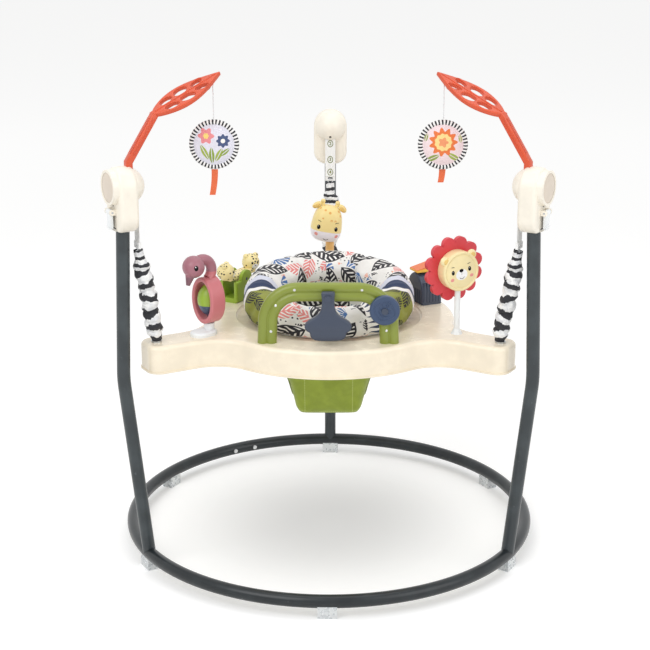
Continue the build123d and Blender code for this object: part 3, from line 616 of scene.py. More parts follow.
# A bloom has a spot, radius, petals, depth and colour, a sprig a spot, length, width, turn and colour.
discDesigns = {
    "left": {
        "bloom": (
            ((-14, 17), 13, 6, 2.4, "e88f93"), ((-14, 17), 5, 6, 0.4, "f6d77c"),
            ((17, 8), 11, 8, 1.5, "46557c"), ((17, 8), 4, 8, 0.3, "f6f3ec"),
        ),
        "sprigs": (
            ((-17, -13), 17, 5, 118, "9fb04c"), ((-4, -19), 17, 5, 92, "8a9f3d"),
            ((9, -18), 15, 5, 62, "9fb04c"), ((20, -13), 12, 4, 38, "8a9f3d"),
        ),
        "ground": "e4e3ef",
    },
    "right": {
        "bloom": (
            ((0, 6), 23, 11, 3.4, "e8793e"), ((0, 6), 15.5, 11, 0.8, "f7d88e"),
            ((0, 6), 8, 5, 1.6, "ee9a6a"),
        ),
        "sprigs": (
            ((-19, -24), 15, 5, 28, "8ba048"), ((20, -22), 16, 5, 146, "9fb04c"),
            ((-31, 14), 9, 3, 74, "8ba048"), ((31, 12), 9, 3, 102, "9fb04c"),
        ),
        "ground": "f3dde0",
    },
}


def hangCord(side, centre, low, high):
    heights = (high, high * 0.7 + low * 0.3, high * 0.3 + low * 0.7, low)
    spots = [(centre[0] / 1000, centre[1] / 1000, height / 1000) for height in heights]
    name = "hangCord" + side.title()
    curve = wireCurve(name, spots, hanging["cordRadius"] / 1000, fineness=12)
    curve.materials.append(cordThread.material)
    cord = bpy.data.objects.new(name, curve)
    bpy.context.scene.collection.objects.link(cord)
    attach(cord, "hanging_toy_" + side)
    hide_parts("hang_cord_" + side)
    return cord


def hangDisc(side, centre):
    shape = bmesh.new()
    x, y, z = centre
    rim = hanging["discRadius"] - hanging["borderRadius"]
    half, power = hanging["discDepth"] / 2, hanging["swellPower"]
    swell = [(rim * t, half * (1 - t ** power) + hanging["edgeHalf"]) for t in hanging["swellSteps"]]
    face = facing((0, -1, 0), centre)
    for flip in (1, -1):
        addLathe(shape, swell, face @ Matrix.Diagonal((1, 1, flip, 1)), 0, 72)
    for vert in shape.verts:                    # pleats that run in from the sewn border
        reach = hypot(vert.co.x - x, vert.co.z - z) / rim
        turn = atan2(vert.co.z - z, vert.co.x - x)
        depth = max(0, reach - hanging["pleatStart"]) ** 2 * hanging["pleatDepth"]
        pleat = depth * sin(turn * hanging["pleats"] + 2 * sin(turn * 5))
        vert.co.y += pleat * (1 if vert.co.y > y else -1)
    addHoop(shape, rim, hanging["borderRadius"], face, 1, 96, 12)
    for vert in shape.verts:                    # the border's outer edge is ruffled
        if hypot(vert.co.x - x, vert.co.z - z) > rim + 1:
            turn = atan2(vert.co.z - z, vert.co.x - x)
            ruffle = hanging["ruffleDepth"] * sin(turn * hanging["ruffles"] + 3 * sin(turn * 4))
            vert.co.x += ruffle * cos(turn) * 0.5
            vert.co.z += ruffle * sin(turn) * 0.5
    finishes = [discPrint(side, centre, **discDesigns[side]), stripedBorder(side, centre)]
    disc = makePiece("hangDisc" + side.title(), shape, finishes, "hanging_toy_" + side,
                     ["hang_disc_" + side], 60)
    return disc


def hangRibbon(side, centre):
    shape = bmesh.new()
    x, y, z = centre
    long, wide = hanging["ribbonLength"][side], hanging["ribbonWidth"]
    top = z - hanging["discRadius"] - hanging["softGap"]
    bmesh.ops.create_grid(shape, x_segments=6, y_segments=24, size=0.5)
    uv = shape.loops.layers.uv.new("cloth")
    for face in shape.faces:
        for loop in face.loops:
            loop[uv].uv = (loop.vert.co.x * wide / 1000, loop.vert.co.y * long / 1000)
    for vert in shape.verts:
        down, across = 0.5 - vert.co.y, vert.co.x
        lean = -hanging["ribbonLean"][side] * down ** 2
        wave = hanging["ribbonWave"] * sin(down * 4.2)
        vert.co = (x + across * wide * (1 - hanging["ribbonTaper"] * down) + lean,
                   y + wave + hanging["ribbonTwist"] * across * down, top - down * long)
    bmesh.ops.recalc_face_normals(shape, faces=shape.faces)
    bmesh.ops.solidify(shape, geom=shape.faces[:], thickness=hanging["ribbonThickness"])
    tail = makePiece("hangRibbon" + side.title(), shape, [ribbonCloth], "hanging_toy_" + side,
                     ["hang_ribbon_" + side])


def hangingToy(side):
    low, high = (corner * 1000 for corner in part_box("hang_cord_" + side))
    x, y = (low.x + high.x) / 2, (low.y + high.y) / 2
    centre = (x, y, hanging["discHeight"])
    cord = hangCord(side, centre, low.z, high.z)
    disc = hangDisc(side, centre)
    hangRibbon(side, centre)


for side in ("left", "right"):
    hangingToy(side)
print("hanging toys done")


# Straps with their printed steps

strap = {
    "radius": 400,
    "width": 22,
    "thickness": 1.6,
    "top": 735,
    "end": 638,
    "hem": 12,
    "hemThickness": 5,
    "edge": 0.7,
    "eyelet": (10, 5, 3),                       # width, height, bar above and below
    "stitchRows": (1.6, 3.0),
    "stitches": 7,
    "stitchStep": 2.8,
    "stitchRadius": 0.28,
    "firstNumber": 2,
    "numberHeights": (720, 685, 657),
    "numberSize": 10.5,
    "numberBold": 0.22,
    "inkDepth": 0.12,
    "ringRadius": 6.4,
    "ringWire": 0.8,
    "ringForm": (0.86, 1.1, 1, 1),
}
inwardFace = Matrix(((0, 0, -1, 0), (-1, 0, 0, 0), (0, 1, 0, 0), (0, 0, 0, 1)))     # seen from the middle

webbing = Finish("whiteWebbing", Sheen_Weight=0.2, Roughness=0.72)
webAlong, webAcross = webbing.axes(webbing.cloth())[:2]
webRib = (webAlong * 4.2 + (webAcross * 3.4).wave() * 0.8).wave()
webSoil = webbing.grain(webbing.spot(), 0.05, 3)
webbing.set(Base_Color=webbing.mix(webRib.rise(-1, 1), tint("eeeeec"), tint("fdfdfc")))
webbing.set(Roughness=0.68 + (webSoil - 0.5) * 0.15)
webbing.relief(webRib, 0.45, 0.25)
stitchThread = Finish("stitchThread", Roughness=0.7)
stitchCloud = stitchThread.grain(stitchThread.spot(), 1.4, 2)
stitchThread.set(Base_Color=stitchThread.mix(stitchCloud, tint("c9cbc6"), tint("e9eae6")))
stitchThread.relief(stitchCloud, 0.4, 0.1)
numberInk = moulded("numberInk", "6f7a3a", 0.5)


def addNumber(shape, text, place, paint):
    curve = bpy.data.curves.new("number", "FONT")
    curve.body = text
    curve.size = strap["numberSize"]
    curve.align_x = "CENTER"
    curve.align_y = "CENTER"
    curve.extrude = strap["inkDepth"]
    curve.offset = strap["numberBold"]
    bringIn(shape, bpy.data.objects.new("number", curve), place, paint)


def webbingStrap(name):
    shape = bmesh.new()
    uv = shape.loops.layers.uv.new("cloth")
    radius, width, thick, hem = strap["radius"], strap["width"], strap["thickness"], strap["hem"]
    low, high = strap["end"], strap["end"] + hem
    addBlock(shape, (radius, 0, (strap["top"] + strap["end"]) / 2 + hem / 2),
             (thick, width, strap["top"] - strap["end"] - hem))
    long = [e for e in shape.edges if abs(e.verts[0].co.z - e.verts[1].co.z) > 1]
    bmesh.ops.bevel(shape, geom=long, offset=strap["edge"], offset_type="OFFSET", segments=2, profile=0.5,
                    affect="EDGES", material=-1)
    eyeWide, eyeTall, bar = strap["eyelet"]
    fold = strap["hemThickness"]
    for flank in (-1, 1):                       # the folded hem on both sides of the link's eyelet
        inner, outer = flank * eyeWide / 2, flank * width / 2
        middle = (radius, (inner + outer) / 2, (low + high) / 2)
        addBlock(shape, middle, (fold, abs(outer - inner), high - low))
    for bottom, top in ((low, low + bar), (low + bar + eyeTall, high)):
        addBlock(shape, (radius, 0, (bottom + top) / 2), (fold, eyeWide, top - bottom))
    for face in shape.faces:
        for loop in face.loops:
            loop[uv].uv = (loop.vert.co.z / 1000, loop.vert.co.y / 1000)
    inside = radius - fold / 2 - 0.1
    for row in strap["stitchRows"]:
        for step in range(strap["stitches"]):
            across = strap["stitchStep"] * (step - (strap["stitches"] - 1) / 2)
            addRod(shape, (inside, across - 1, high - row), (inside, across + 1, high - row),
                   strap["stitchRadius"], paint=1, sides=6)
    for count, height in enumerate(strap["numberHeights"]):
        spot = (radius - thick / 2 - strap["inkDepth"], 0, height)
        upright = Matrix.Translation(spot) @ inwardFace
        ring = upright @ Matrix.Diagonal(strap["ringForm"])
        addHoop(shape, strap["ringRadius"], strap["ringWire"], ring, 2, 40, 8, 0.35)
        addNumber(shape, str(count + strap["firstNumber"]), upright, 2)
    bmesh.ops.transform(shape, matrix=atStation(name), verts=shape.verts)
    makePiece("webStrap" + name.title(), shape, [webbing, stitchThread, numberInk], "suspension",
              ["strap_" + name])


for name in stations:
    webbingStrap(name)
print("straps done")


# Springs and gathered sleeves

coil = {
    "low": (370, 0, 468.9),
    "high": (400, 0, 637.5),
    "radius": 6.0,
    "wire": 1.15,
    "pitch": 2.9,
    "stepsPerTurn": 14,
    "linkRadius": 5,
    "linkWire": 1.1,
}
sleeve = {
    "below": -11.5,
    "short": 3.0,
    "neck": 11.6,
    "crest": 17.0,
    "tip": 8.4,
    "foot": 9.3,
    "hem": (0.02, 0.10),
    "knot": (0.80, 0.93),
    "sway": 2.4,
    "sideSway": 1.2,
    "folds": 9,
    "foldSpread": 0.18,
    "pleatDepth": 1.6,
    "crumpleDepth": 1.1,
    "least": 9.0,
    "around": 56,
    "rows": 150,
    "cloth": 0.7,
    "bands": 6.3,
    "bandLength": 175,
    "tiedBands": (125, 185),
}


def coilFrame():
    low, high = Vector(coil["low"]), Vector(coil["high"])
    return facing(high - low, low), (high - low).length


zebra = Finish("zebraSleeve", Sheen_Weight=0.1, Roughness=0.78)
zebraAround, zebraAlong = zebra.axes(zebra.cloth())[:2]
zebraSpot = zebra.spot()
zebraWarp = zebra.grain(zebraSpot, 0.055, 2)
zebraNibble = zebra.grain(zebraSpot, 0.28, 2)
zebraStep = sleeve["bands"] / sleeve["bandLength"]
zebraTied = zebraAlong.rise(*sleeve["tiedBands"]) * 1.6
zebraLean = (zebraAround * (1 / sleeve["crest"])).wave() * (zebraAlong * 0.09).wave() * 0.14
zebraRagged = (zebraWarp - 0.5) * 0.75 + (zebraNibble - 0.5) * 0.16
zebraCycle = (zebraAlong * zebraStep + zebraTied + zebraLean + zebraRagged + 0.15).part()
zebraBand = zebraCycle.rise(0.02, 0.05) * (1 - zebraCycle.rise(0.50, 0.53))
zebraGrey = zebra.grain(zebraSpot, 0.1, 3)
zebraWhite = zebra.mix(zebraGrey.rise(0.35, 0.7), tint("f5f5f3"), tint("dcdde0"))
zebra.set(Base_Color=zebra.mix(zebraBand, zebraWhite, tint("25262b")))
weave(zebra, zebraAround, zebraAlong, 0.9, 0.4)


def sleeveSpot(turn, along, seed, low, high):         # folds, pleats, the tied top and the gathered hem
    drift = noise.noise((cos(turn) * 0.8 + seed, sin(turn) * 0.8, along * 4))
    fold = along * sleeve["folds"] + 0.5 * drift + 0.16 * sin(turn + seed * 3 + along * 9)
    puff = abs(sin(pi * fold)) ** 0.6
    size = 1 - sleeve["foldSpread"] * (1 + sin(2.3 * int(fold) + seed))
    pleat = noise.noise((cos(turn) * 3.2, sin(turn) * 3.2 + seed, along * 16))
    crumple = noise.noise((cos(turn) * 1.7 + seed * 2, sin(turn) * 1.7, along * 34))
    radius = sleeve["neck"] + (sleeve["crest"] - sleeve["neck"]) * puff * size
    radius += sleeve["pleatDepth"] * pleat * (1.2 - 0.5 * puff) + sleeve["crumpleDepth"] * crumple
    tied = between(along, *sleeve["knot"])
    tied = tied * tied * (3 - 2 * tied)
    radius = max(radius, sleeve["least"]) * (1 - tied) + (sleeve["tip"] + 0.8 * pleat + 0.5 * puff) * tied
    hem = 1 - between(along, *sleeve["hem"])
    radius = radius * (1 - hem) + (sleeve["foot"] + 0.6 * pleat) * hem
    sway = sleeve["sway"] * (1 - tied) * (1 - hem) * sin(pi * along * sleeve["folds"] + seed)
    sideSway = sleeve["sideSway"] * cos(along * 8 + seed) * (1 - tied)
    height = low + along * (high - low) + 1.6 * drift
    return radius * cos(turn) + sway, radius * sin(turn) + sideSway, height


def gatheredSleeve(name, seed):
    place, length = coilFrame()
    low, high = sleeve["below"], length - sleeve["short"]
    shape = openTube(sleeve["around"], sleeve["rows"])
    uv = shape.loops.layers.uv.new("cloth")
    girth = 2 * pi * sleeve["crest"]
    for face in shape.faces:
        turns = unwrapped([atan2(v.co.y, v.co.x) for v in face.verts])
        for loop, turn in zip(face.loops, turns):
            loop[uv].uv = (turn / (2 * pi) * girth / 1000, loop.vert.co.z * (high - low) / 1000)
    for vert in shape.verts:
        vert.co = sleeveSpot(atan2(vert.co.y, vert.co.x), vert.co.z, seed, low, high)
    turned = atStation(name)
    bmesh.ops.transform(shape, matrix=turned @ place, verts=shape.verts)
    bmesh.ops.recalc_face_normals(shape, faces=shape.faces)
    bmesh.ops.solidify(shape, geom=shape.faces[:], thickness=sleeve["cloth"])
    made = makeObject("zebraSleeve" + name.title(), shape, [zebra], 80)
    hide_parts("sleeve_" + name)
    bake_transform(made)


def coilSprings():
    shape = bmesh.new()
    place, length = coilFrame()
    link, steps = coil["linkRadius"], coil["stepsPerTurn"]
    turns = int((length - 1.4 * link) / coil["pitch"])
    wireStart = Matrix.Translation((coil["radius"], 0, 0.7 * link)) @ Matrix.Rotation(pi / 2, 4, "X")
    for name in stations:
        part = bmesh.new()
        ring = bmesh.ops.create_circle(part, segments=6, radius=coil["wire"], matrix=wireStart)
        start = [e for v in ring["verts"] for e in v.link_edges]
        bmesh.ops.spin(part, geom=list(set(start)) + ring["verts"], cent=(0, 0, 0), axis=(0, 0, 1),
                       steps=turns * steps, angle=turns * 2 * pi, dvec=(0, 0, coil["pitch"] / steps))
        for height, axis in ((0, "Y"), (length, "X")):
            hook = Matrix.Translation((0, 0, height)) @ Matrix.Rotation(pi / 2, 4, axis)
            addHoop(part, link, coil["linkWire"], hook, 0, 28)
        join(shape, part, atStation(name) @ place)
    made = makeObject("coilSprings", shape, [steel], 60)
    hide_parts("springs")
    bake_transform(made)


for count, name in enumerate(stations):
    gatheredSleeve(name, 1.7 + 2.9 * count)
coilSprings()
print("springs and sleeves done")


# Seat: padded collar and fabric sling

pad = {
    "circle": 133,
    "halfWidth": 35,
    "halfHeight": 42,
    "height": 486,
    "tilt": 9,
    "channels": 6,
    "channelDepth": 6.0,
    "channelWidth": 7.0,
    "around": 108,
    "section": 36,
    "slack": 2.0,
    "clothRoll": 40,
    "rest": 453.2,
    "heldPull": 0.25,
    "heldRise": 2,
    "pressure": 4.0,
    "shrink": -0.06,
    "tension": 20,
    "bending": 0.6,
    "quality": 6,
    "frames": 16,
    "swellLimit": 5.0,
    "fill": 0.7,
}

printInk = {
    "white": "f7f5f1",
    "shadow": "eceae6",
    "black": "232229",
    "pink": "e58a86",
    "peach": "eea58a",
    "blue": "4c74ab",
    "navy": "2f3d5c",
    "lavender": "d9dcea",
    "olive": "93993f",
    "oliveShadow": "868c34",
}
padPanels = {                                   # degrees from the front, to both sides
    "zigzag": (27, 40),                         # on the right side only
    "olive": (43.6, 74.6),
    "white": (74.6, 79.6),
    "navy": (79.6, 91.6),
    "lavender": (91.6, 98.0),
}


def printedCloth(name, plain):
    finish = Finish(name, Sheen_Weight=0.08, Sheen_Roughness=0.5, Roughness=0.8)
    along, across = finish.axes(finish.cloth())[:2]
    flat = finish.add("CombineXYZ", None, {"X": along, "Y": across})
    ink = {label: tint(code) for label, code in printInk.items()}

    def scatter(pitch, seed, loose):                # motif axes and a random pick per motif
        moved = finish.add("VectorMath", {"operation": "ADD"}, {0: flat, 1: (seed, 2 * seed, 0)})
        cells = finish.add("TexVoronoi", {"voronoi_dimensions": "2D"},
                           {"Vector": moved, "Scale": 1 / pitch, "Randomness": loose}).socket.node.outputs
        local = finish.add("VectorMath", {"operation": "SUBTRACT"},
                           {0: moved, 1: Signal(finish, cells["Position"])})
        pick = finish.axes(Signal(finish, cells["Color"]))
        turned = finish.add("VectorRotate", {"rotation_type": "Z_AXIS"},
                            {"Vector": local, "Angle": pick[0] * 2 * pi})
        return *finish.axes(turned)[:2], pick[1]

    def room(x, y, reach, wide):                    # mm left to the edge of a pointed blade
        lie = x / reach
        return (1 - lie * lie) * wide - abs(y)

    def slotted(x, y, reach, wide, comb):
        inside = room(x, y, reach, wide)
        slot = ((x - abs(y) * 0.8) * (2 * pi / comb)).wave().rise(0.2, 0.5)
        slot = slot * (abs(y) - 2.0).rise(0, 0.8) * (inside - 3.2).rise(0, 0.8)
        return inside.rise(-0.4, 0.4) * (1 - slot)

    def fern(x, y, reach, wide, comb):
        leaflet = ((x - abs(y) * 1.1) * (2 * pi / comb)).wave().rise(-0.5, -0.2)
        rib = (1.0 - abs(y)).rise(-0.3, 0.3)
        return room(x, y, reach, wide).rise(-0.4, 0.4) * leaflet.either(rib)

    def fan(x, y, reach):
        out = (x * x + y * y) ** 0.5
        angle = y.angle(x)
        rays = (angle * 13).wave().rise(-0.6, -0.3).either((reach * 0.25 - out).rise(-0.4, 0.4))
        return rays * (reach - out).rise(-0.4, 0.4) * (1.25 - abs(angle)).rise(0, 0.03)

    def chosen(pick, low, high):
        return pick.rise(low, low + 0.001) * (1 - pick.rise(high, high + 0.001))

    cloud = finish.grain(finish.spot(), 0.03, 3)
    white = finish.mottle(cloud, ink["white"], ink["shadow"])
    dotX, dotY, dotPick = scatter(8.5, 29.0, 0.6)
    dots = (1.1 + dotPick * 0.9 - (dotX * dotX + dotY * dotY) ** 0.5).rise(-0.3, 0.3)
    patch = finish.grain(flat, 0.022, 1).rise(0.54, 0.56)
    printed = finish.mix(dots * patch, white, ink["black"])
    x, y, pick = scatter(38, 71.0, 0.6)
    for low, high, label in ((0, 0.35, "black"), (0.35, 0.7, "peach"), (0.7, 1, "blue")):
        printed = finish.mix(fern(x, y, 13, 5.5, 5.5) * chosen(pick, low, high), printed, ink[label])
    x, y, pick = scatter(58, 43.0, 0.5)
    printed = finish.mix(room(x, y, 36, 18).rise(-0.4, 0.4), printed, white)
    printed = finish.mix(fern(x, y, 34, 16, 9.5) * chosen(pick, 0, 0.5), printed, ink["pink"])
    printed = finish.mix(fan(x, y, 27) * chosen(pick, 0.5, 0.8), printed, ink["blue"])
    printed = finish.mix(fern(x, y, 34, 14, 13) * chosen(pick, 0.8, 1), printed, ink["black"])
    x, y, pick = scatter(70, 13.0, 0.5)
    shown = chosen(pick, 0, 0.75)
    printed = finish.mix(room(x, y, 43, 24).rise(-0.4, 0.4) * shown, printed, white)
    printed = finish.mix(slotted(x, y, 40, 21, 12) * shown, printed, ink["black"])
    if plain:
        finish.set(Base_Color=printed)
        weave(finish, along, across, 1.1, 0.45)
        return finish
    ground = finish.mottle(cloud, ink["olive"], ink["oliveShadow"])
    x, y, pick = scatter(48, 37.0, 0.5)
    oliveLeaf = finish.mix(fern(x, y, 25, 13, 7.5), ground, ink["black"])
    turn = along / pad["circle"] * (180 / pi)              # 0 at the front, positive to the right
    azimuth = abs(turn)

    def band(low, high):
        return azimuth.rise(low, low + 0.6) * (1 - azimuth.rise(high, high + 0.6))

    start, end = padPanels["zigzag"]
    tooth = abs((across / 13).part() - 0.5) * 2
    zigzag = ((turn - start) / (end - start) - tooth).rise(-0.04, 0.04)
    right = turn.rise(start - 0.3, start + 0.3) * (1 - turn.rise(end - 0.3, end + 0.3))
    colour = finish.mix(right, printed, finish.mix(zigzag, ink["white"], ink["navy"]))
    colour = finish.mix(band(*padPanels["olive"]), colour, oliveLeaf)
    for label in ("white", "navy", "lavender"):
        colour = finish.mix(band(*padPanels[label]), colour, ink[label])
    finish.set(Base_Color=colour)
    weave(finish, along, across, 1.1, 0.45)
    return finish


padCloth = printedCloth("seatPrint", False)
liningCloth = printedCloth("liningPrint", True)


def padShape():
    shape = bmesh.new()
    wide, tall = pad["halfWidth"] - pad["slack"], pad["halfHeight"] - pad["slack"]
    count = pad["section"]
    turns = [2 * pi * k / count for k in range(count)]
    profile = [shape.verts.new((0, -pad["circle"] - wide * cos(turn), tall * sin(turn))) for turn in turns]
    edges = [shape.edges.new((profile[k], profile[(k + 1) % count])) for k in range(count)]
    bmesh.ops.spin(shape, geom=profile + edges, cent=(0, 0, 0), axis=(0, 0, 1), angle=2 * pi,
                   steps=pad["around"], use_merge=True)
    bmesh.ops.recalc_face_normals(shape, faces=shape.faces)
    return shape


def padFrame():
    return Matrix.Translation((0, 0, pad["height"])) @ Matrix.Rotation(radians(pad["tilt"]), 4, "X")


def seamPull(azimuth):                          # 1 on a sewn channel, 0 midway
    step = 2 * pi / pad["channels"]
    away = abs(((azimuth - pi / 2) / step) % 1 - 0.5) * step * pad["circle"]
    return max(0.0, 1 - away / pad["channelWidth"]) ** 2


def swellPad(made):                             # cloth under pressure, held at the channels
    mesh = made.data
    rest = [v.co.copy() for v in mesh.vertices]
    held = made.vertex_groups.new(name="held")
    for vert in mesh.vertices:
        pull = seamPull(atan2(vert.co.y, vert.co.x))
        if pull > pad["heldPull"] or vert.co.z < pad["rest"] / 1000 + pad["heldRise"] / 1000:
            held.add([vert.index], 1.0, "REPLACE")
    cloth = made.modifiers.new("swell", "CLOTH")
    cloth.settings.vertex_group_mass = "held"
    cloth.settings.use_pressure = True
    cloth.settings.uniform_pressure_force = pad["pressure"]
    cloth.settings.effector_weights.gravity = 0
    cloth.settings.shrink_min = pad["shrink"]
    cloth.settings.tension_stiffness = pad["tension"]
    cloth.settings.bending_stiffness = pad["bending"]
    cloth.settings.quality = pad["quality"]
    scene = bpy.context.scene
    for step in range(1, pad["frames"] + 1):
        scene.frame_set(step)
    swollen = made.evaluated_get(bpy.context.evaluated_depsgraph_get()).to_mesh()
    moved = [v.co.copy() for v in swollen.vertices]
    made.evaluated_get(bpy.context.evaluated_depsgraph_get()).to_mesh_clear()
    made.modifiers.remove(cloth)
    made.vertex_groups.remove(held)
    scene.frame_set(1)
    limit = pad["swellLimit"] / 1000
    for vert, before, after in zip(mesh.vertices, rest, moved):
        step = after - before
        vert.co = before + (step if step.length < limit else step.normalized() * limit)
    print("pad swelled by cloth")


def seatPad():
    shape = padShape()
    uv = shape.loops.layers.uv.new("cloth")
    for face in shape.faces:
        turns = unwrapped([atan2(v.co.x, -v.co.y) for v in face.verts])
        tilts = unwrapped([atan2(v.co.z, hypot(v.co.x, v.co.y) - pad["circle"]) for v in face.verts])
        for loop, turn, tilt in zip(face.loops, turns, tilts):
            loop[uv].uv = (turn * pad["circle"] / 1000, tilt * pad["clothRoll"] / 1000)
    for vert in shape.verts:
        azimuth = atan2(vert.co.y, vert.co.x)
        spine = Vector((pad["circle"] * cos(azimuth), pad["circle"] * sin(azimuth), 0))
        out = vert.co - spine
        pull = seamPull(azimuth)
        vert.co = spine + out * (1 - pull * pad["channelDepth"] / out.length)
    bmesh.ops.transform(shape, matrix=padFrame(), verts=shape.verts)
    for vert in shape.verts:
        vert.co.z = max(vert.co.z, pad["rest"])
    made = makeObject("seatCollar", shape, [padCloth], 80)
    swellPad(made)
    for vert in made.data.vertices:
        vert.co.z = max(vert.co.z, pad["rest"] / 1000)
    finer = made.modifiers.new("finer", "SUBSURF")
    finer.levels = 1
    finer.render_levels = 1
    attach(made, "seat")
    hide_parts("seat_pad")


sling = {
    "mouth": 121.5,
    "mouthHeight": 452,
    "girth": 720,
    "waist": 116,
    "waistHeight": 397,
    "liningRise": 6,
    "halfWidth": 62,
    "halfDepth": 56,
    "squareness": 8.0,
    "flare": 0.86,
    "sag": 2.2,
    "ripple": 1.6,
    "rippleTop": 440,
    "bottom": 260,
    "bottomRings": (0.85, 0.66, 0.44, 0.22),
    "bottomRise": 5,
    "cornerHeight": 16,
    "cornerPull": 0.05,
    "cornerRise": 4,
    "legHeight": 330,
    "legRadius": 42,
    "legReach": 30,
    "legTop": 420,
    "cloth": 2.4,
    "around": 96,
    "rows": 46,
    "binding": 3.0,
    "bindingSteps": 40,
    "seamAcross": 47,
    "seamTop": 402,
    "hemHeight": 268,
    "stitchHalf": 0.6,
    "stitchShare": 0.62,
}

oliveCloth = Finish("oliveCloth", Sheen_Weight=0.3, Sheen_Roughness=0.5, Roughness=0.82)
oliveX, oliveY, oliveZ = oliveCloth.axes(oliveCloth.spot())
oliveCloud = oliveCloth.grain(oliveCloth.spot(), 0.04, 4)
oliveBase = oliveCloth.mottle(oliveCloud, tint("9aab34"), tint("8a9b2b"))
oliveSeam = (abs(abs(oliveX) - sling["seamAcross"]) < sling["stitchHalf"]) * (oliveZ < sling["seamTop"])
oliveSeam = oliveSeam * ((oliveZ * 0.25).part() < sling["stitchShare"])
oliveHem = abs(oliveZ - sling["hemHeight"]) < sling["stitchHalf"]
oliveHem = oliveHem * (((oliveX + oliveY) * 0.25).part() < sling["stitchShare"])
oliveCloth.set(Base_Color=oliveCloth.mix(oliveSeam.either(oliveHem), oliveBase, tint("c3cf78")))
weave(oliveCloth, oliveX + oliveY, oliveZ, 1.2, 0.5)
bindingCloth = Finish("bindingCloth", Sheen_Weight=0.3, Roughness=0.8)
bindingCloud = bindingCloth.grain(bindingCloth.spot(), 0.3, 3)
bindingCloth.set(Base_Color=bindingCloth.mottle(bindingCloud, tint("6c7a24"), tint("7b8a2c")))
bindingCloth.relief(bindingCloud, 0.5, 0.4)


def slingReach(turn, height):                   # how far the cloth stands from the axis
    waist, waistHeight = sling["waist"], sling["waistHeight"]
    if height >= waistHeight:
        t = (height - waistHeight) / (sling["mouthHeight"] - waistHeight)
        return waist + (sling["mouth"] - waist) * t
    t = (waistHeight - height) / (waistHeight - sling["bottom"])
    power = sling["squareness"]
    across, deep = abs(cos(turn) / sling["halfWidth"]), abs(sin(turn) / sling["halfDepth"])
    box = (across ** power + deep ** power) ** (-1 / power)
    lower = waist + (box - waist) * (t ** sling["flare"])
    return lower - sling["sag"] * sin(pi * t) * cos(2 * turn)


def slingSpot(unit):                            # where a spot of the unit tube and its bottom goes
    turn, flat = atan2(unit.y, unit.x), hypot(unit.x, unit.y)
    bottom = sling["bottom"]
    if unit.z < -0.0005:
        reach = slingReach(turn, bottom) * flat
        height = bottom + sling["bottomRise"] * flat ** 6
    else:
        height = bottom + unit.z * (sling["mouthHeight"] - bottom)
        reach = slingReach(turn, height)
        near = max(0, 1 - (height - bottom) / sling["cornerHeight"])
        reach *= 1 - sling["cornerPull"] * near ** 2
        height += sling["cornerRise"] * near
    crease = noise.noise((cos(turn) * 2.4, sin(turn) * 2.4, height * 0.022))
    reach += crease * sling["ripple"] * (height < sling["rippleTop"])
    return reach * cos(turn), reach * sin(turn), height


def legHoop(flank):                             # a leg opening's edge on the sling's own reach
    radius, steps = sling["legRadius"], sling["bindingSteps"]
    hoop = []
    for step in range(steps):
        turn = 2 * pi * step / steps
        y, z = radius * cos(turn), sling["legHeight"] + radius * sin(turn)
        azimuth = 0.0
        for again in range(12):
            azimuth = atan2(y, slingReach(azimuth, z) * cos(azimuth))
        hoop.append((flank * (slingReach(azimuth, z) * cos(azimuth) - sling["cloth"] / 2), y, z))
    return hoop


def inLeg(face):
    spot = face.calc_center_median()
    return hypot(spot.y, spot.z - sling["legHeight"]) < sling["legRadius"] and abs(spot.x) > sling["legReach"]


def seatSling():
    shape = openTube(sling["around"], sling["rows"])
    rim = [e for e in shape.edges if e.is_boundary and e.verts[0].co.z < 0.01]
    for inset in sling["bottomRings"]:
        made = bmesh.ops.extrude_edge_only(shape, edges=rim)["geom"]
        rim = [item for item in made if isinstance(item, bmesh.types.BMEdge)]
        for vert in {v for e in rim for v in e.verts}:
            vert.co.x, vert.co.y = (Vector((vert.co.x, vert.co.y)).normalized() * inset)
            vert.co.z = -0.001 - (1 - inset) * 0.02
    bmesh.ops.holes_fill(shape, edges=rim, sides=0)
    uv = shape.loops.layers.uv.new("cloth")
    for face in shape.faces:
        turns = unwrapped([atan2(v.co.y, v.co.x) for v in face.verts])
        for loop, turn in zip(face.loops, turns):
            loop[uv].uv = (turn * 0.11, loop.vert.co.z * 0.2)
    for vert in shape.verts:
        vert.co = slingSpot(vert.co)
    bmesh.ops.delete(shape, geom=[face for face in shape.faces if inLeg(face)], context="FACES")
    for vert in shape.verts:
        if vert.is_boundary and vert.co.z < sling["legTop"]:
            out = Vector((vert.co.y, vert.co.z - sling["legHeight"])).normalized() * sling["legRadius"]
            vert.co.y, vert.co.z = out.x, sling["legHeight"] + out.y
    for face in shape.faces:
        lining = face.calc_center_median().z >= sling["waistHeight"] + sling["liningRise"]
        face.material_index = 1 if lining else 0
    bmesh.ops.recalc_face_normals(shape, faces=shape.faces)
    bmesh.ops.solidify(shape, geom=shape.faces[:], thickness=sling["cloth"])
    made = makePiece("seatSling", shape, [oliveCloth, liningCloth], "seat", ["seat_sling"], 70)
    edges = bmesh.new()
    for flank in (-1, 1):
        addWire(edges, legHoop(flank), sling["binding"], cyclic=True)
    trim = makePiece("legBindings", edges, [bindingCloth], "seat")


seatPad()
seatSling()
print("seat done")


# Finishes with painted parts

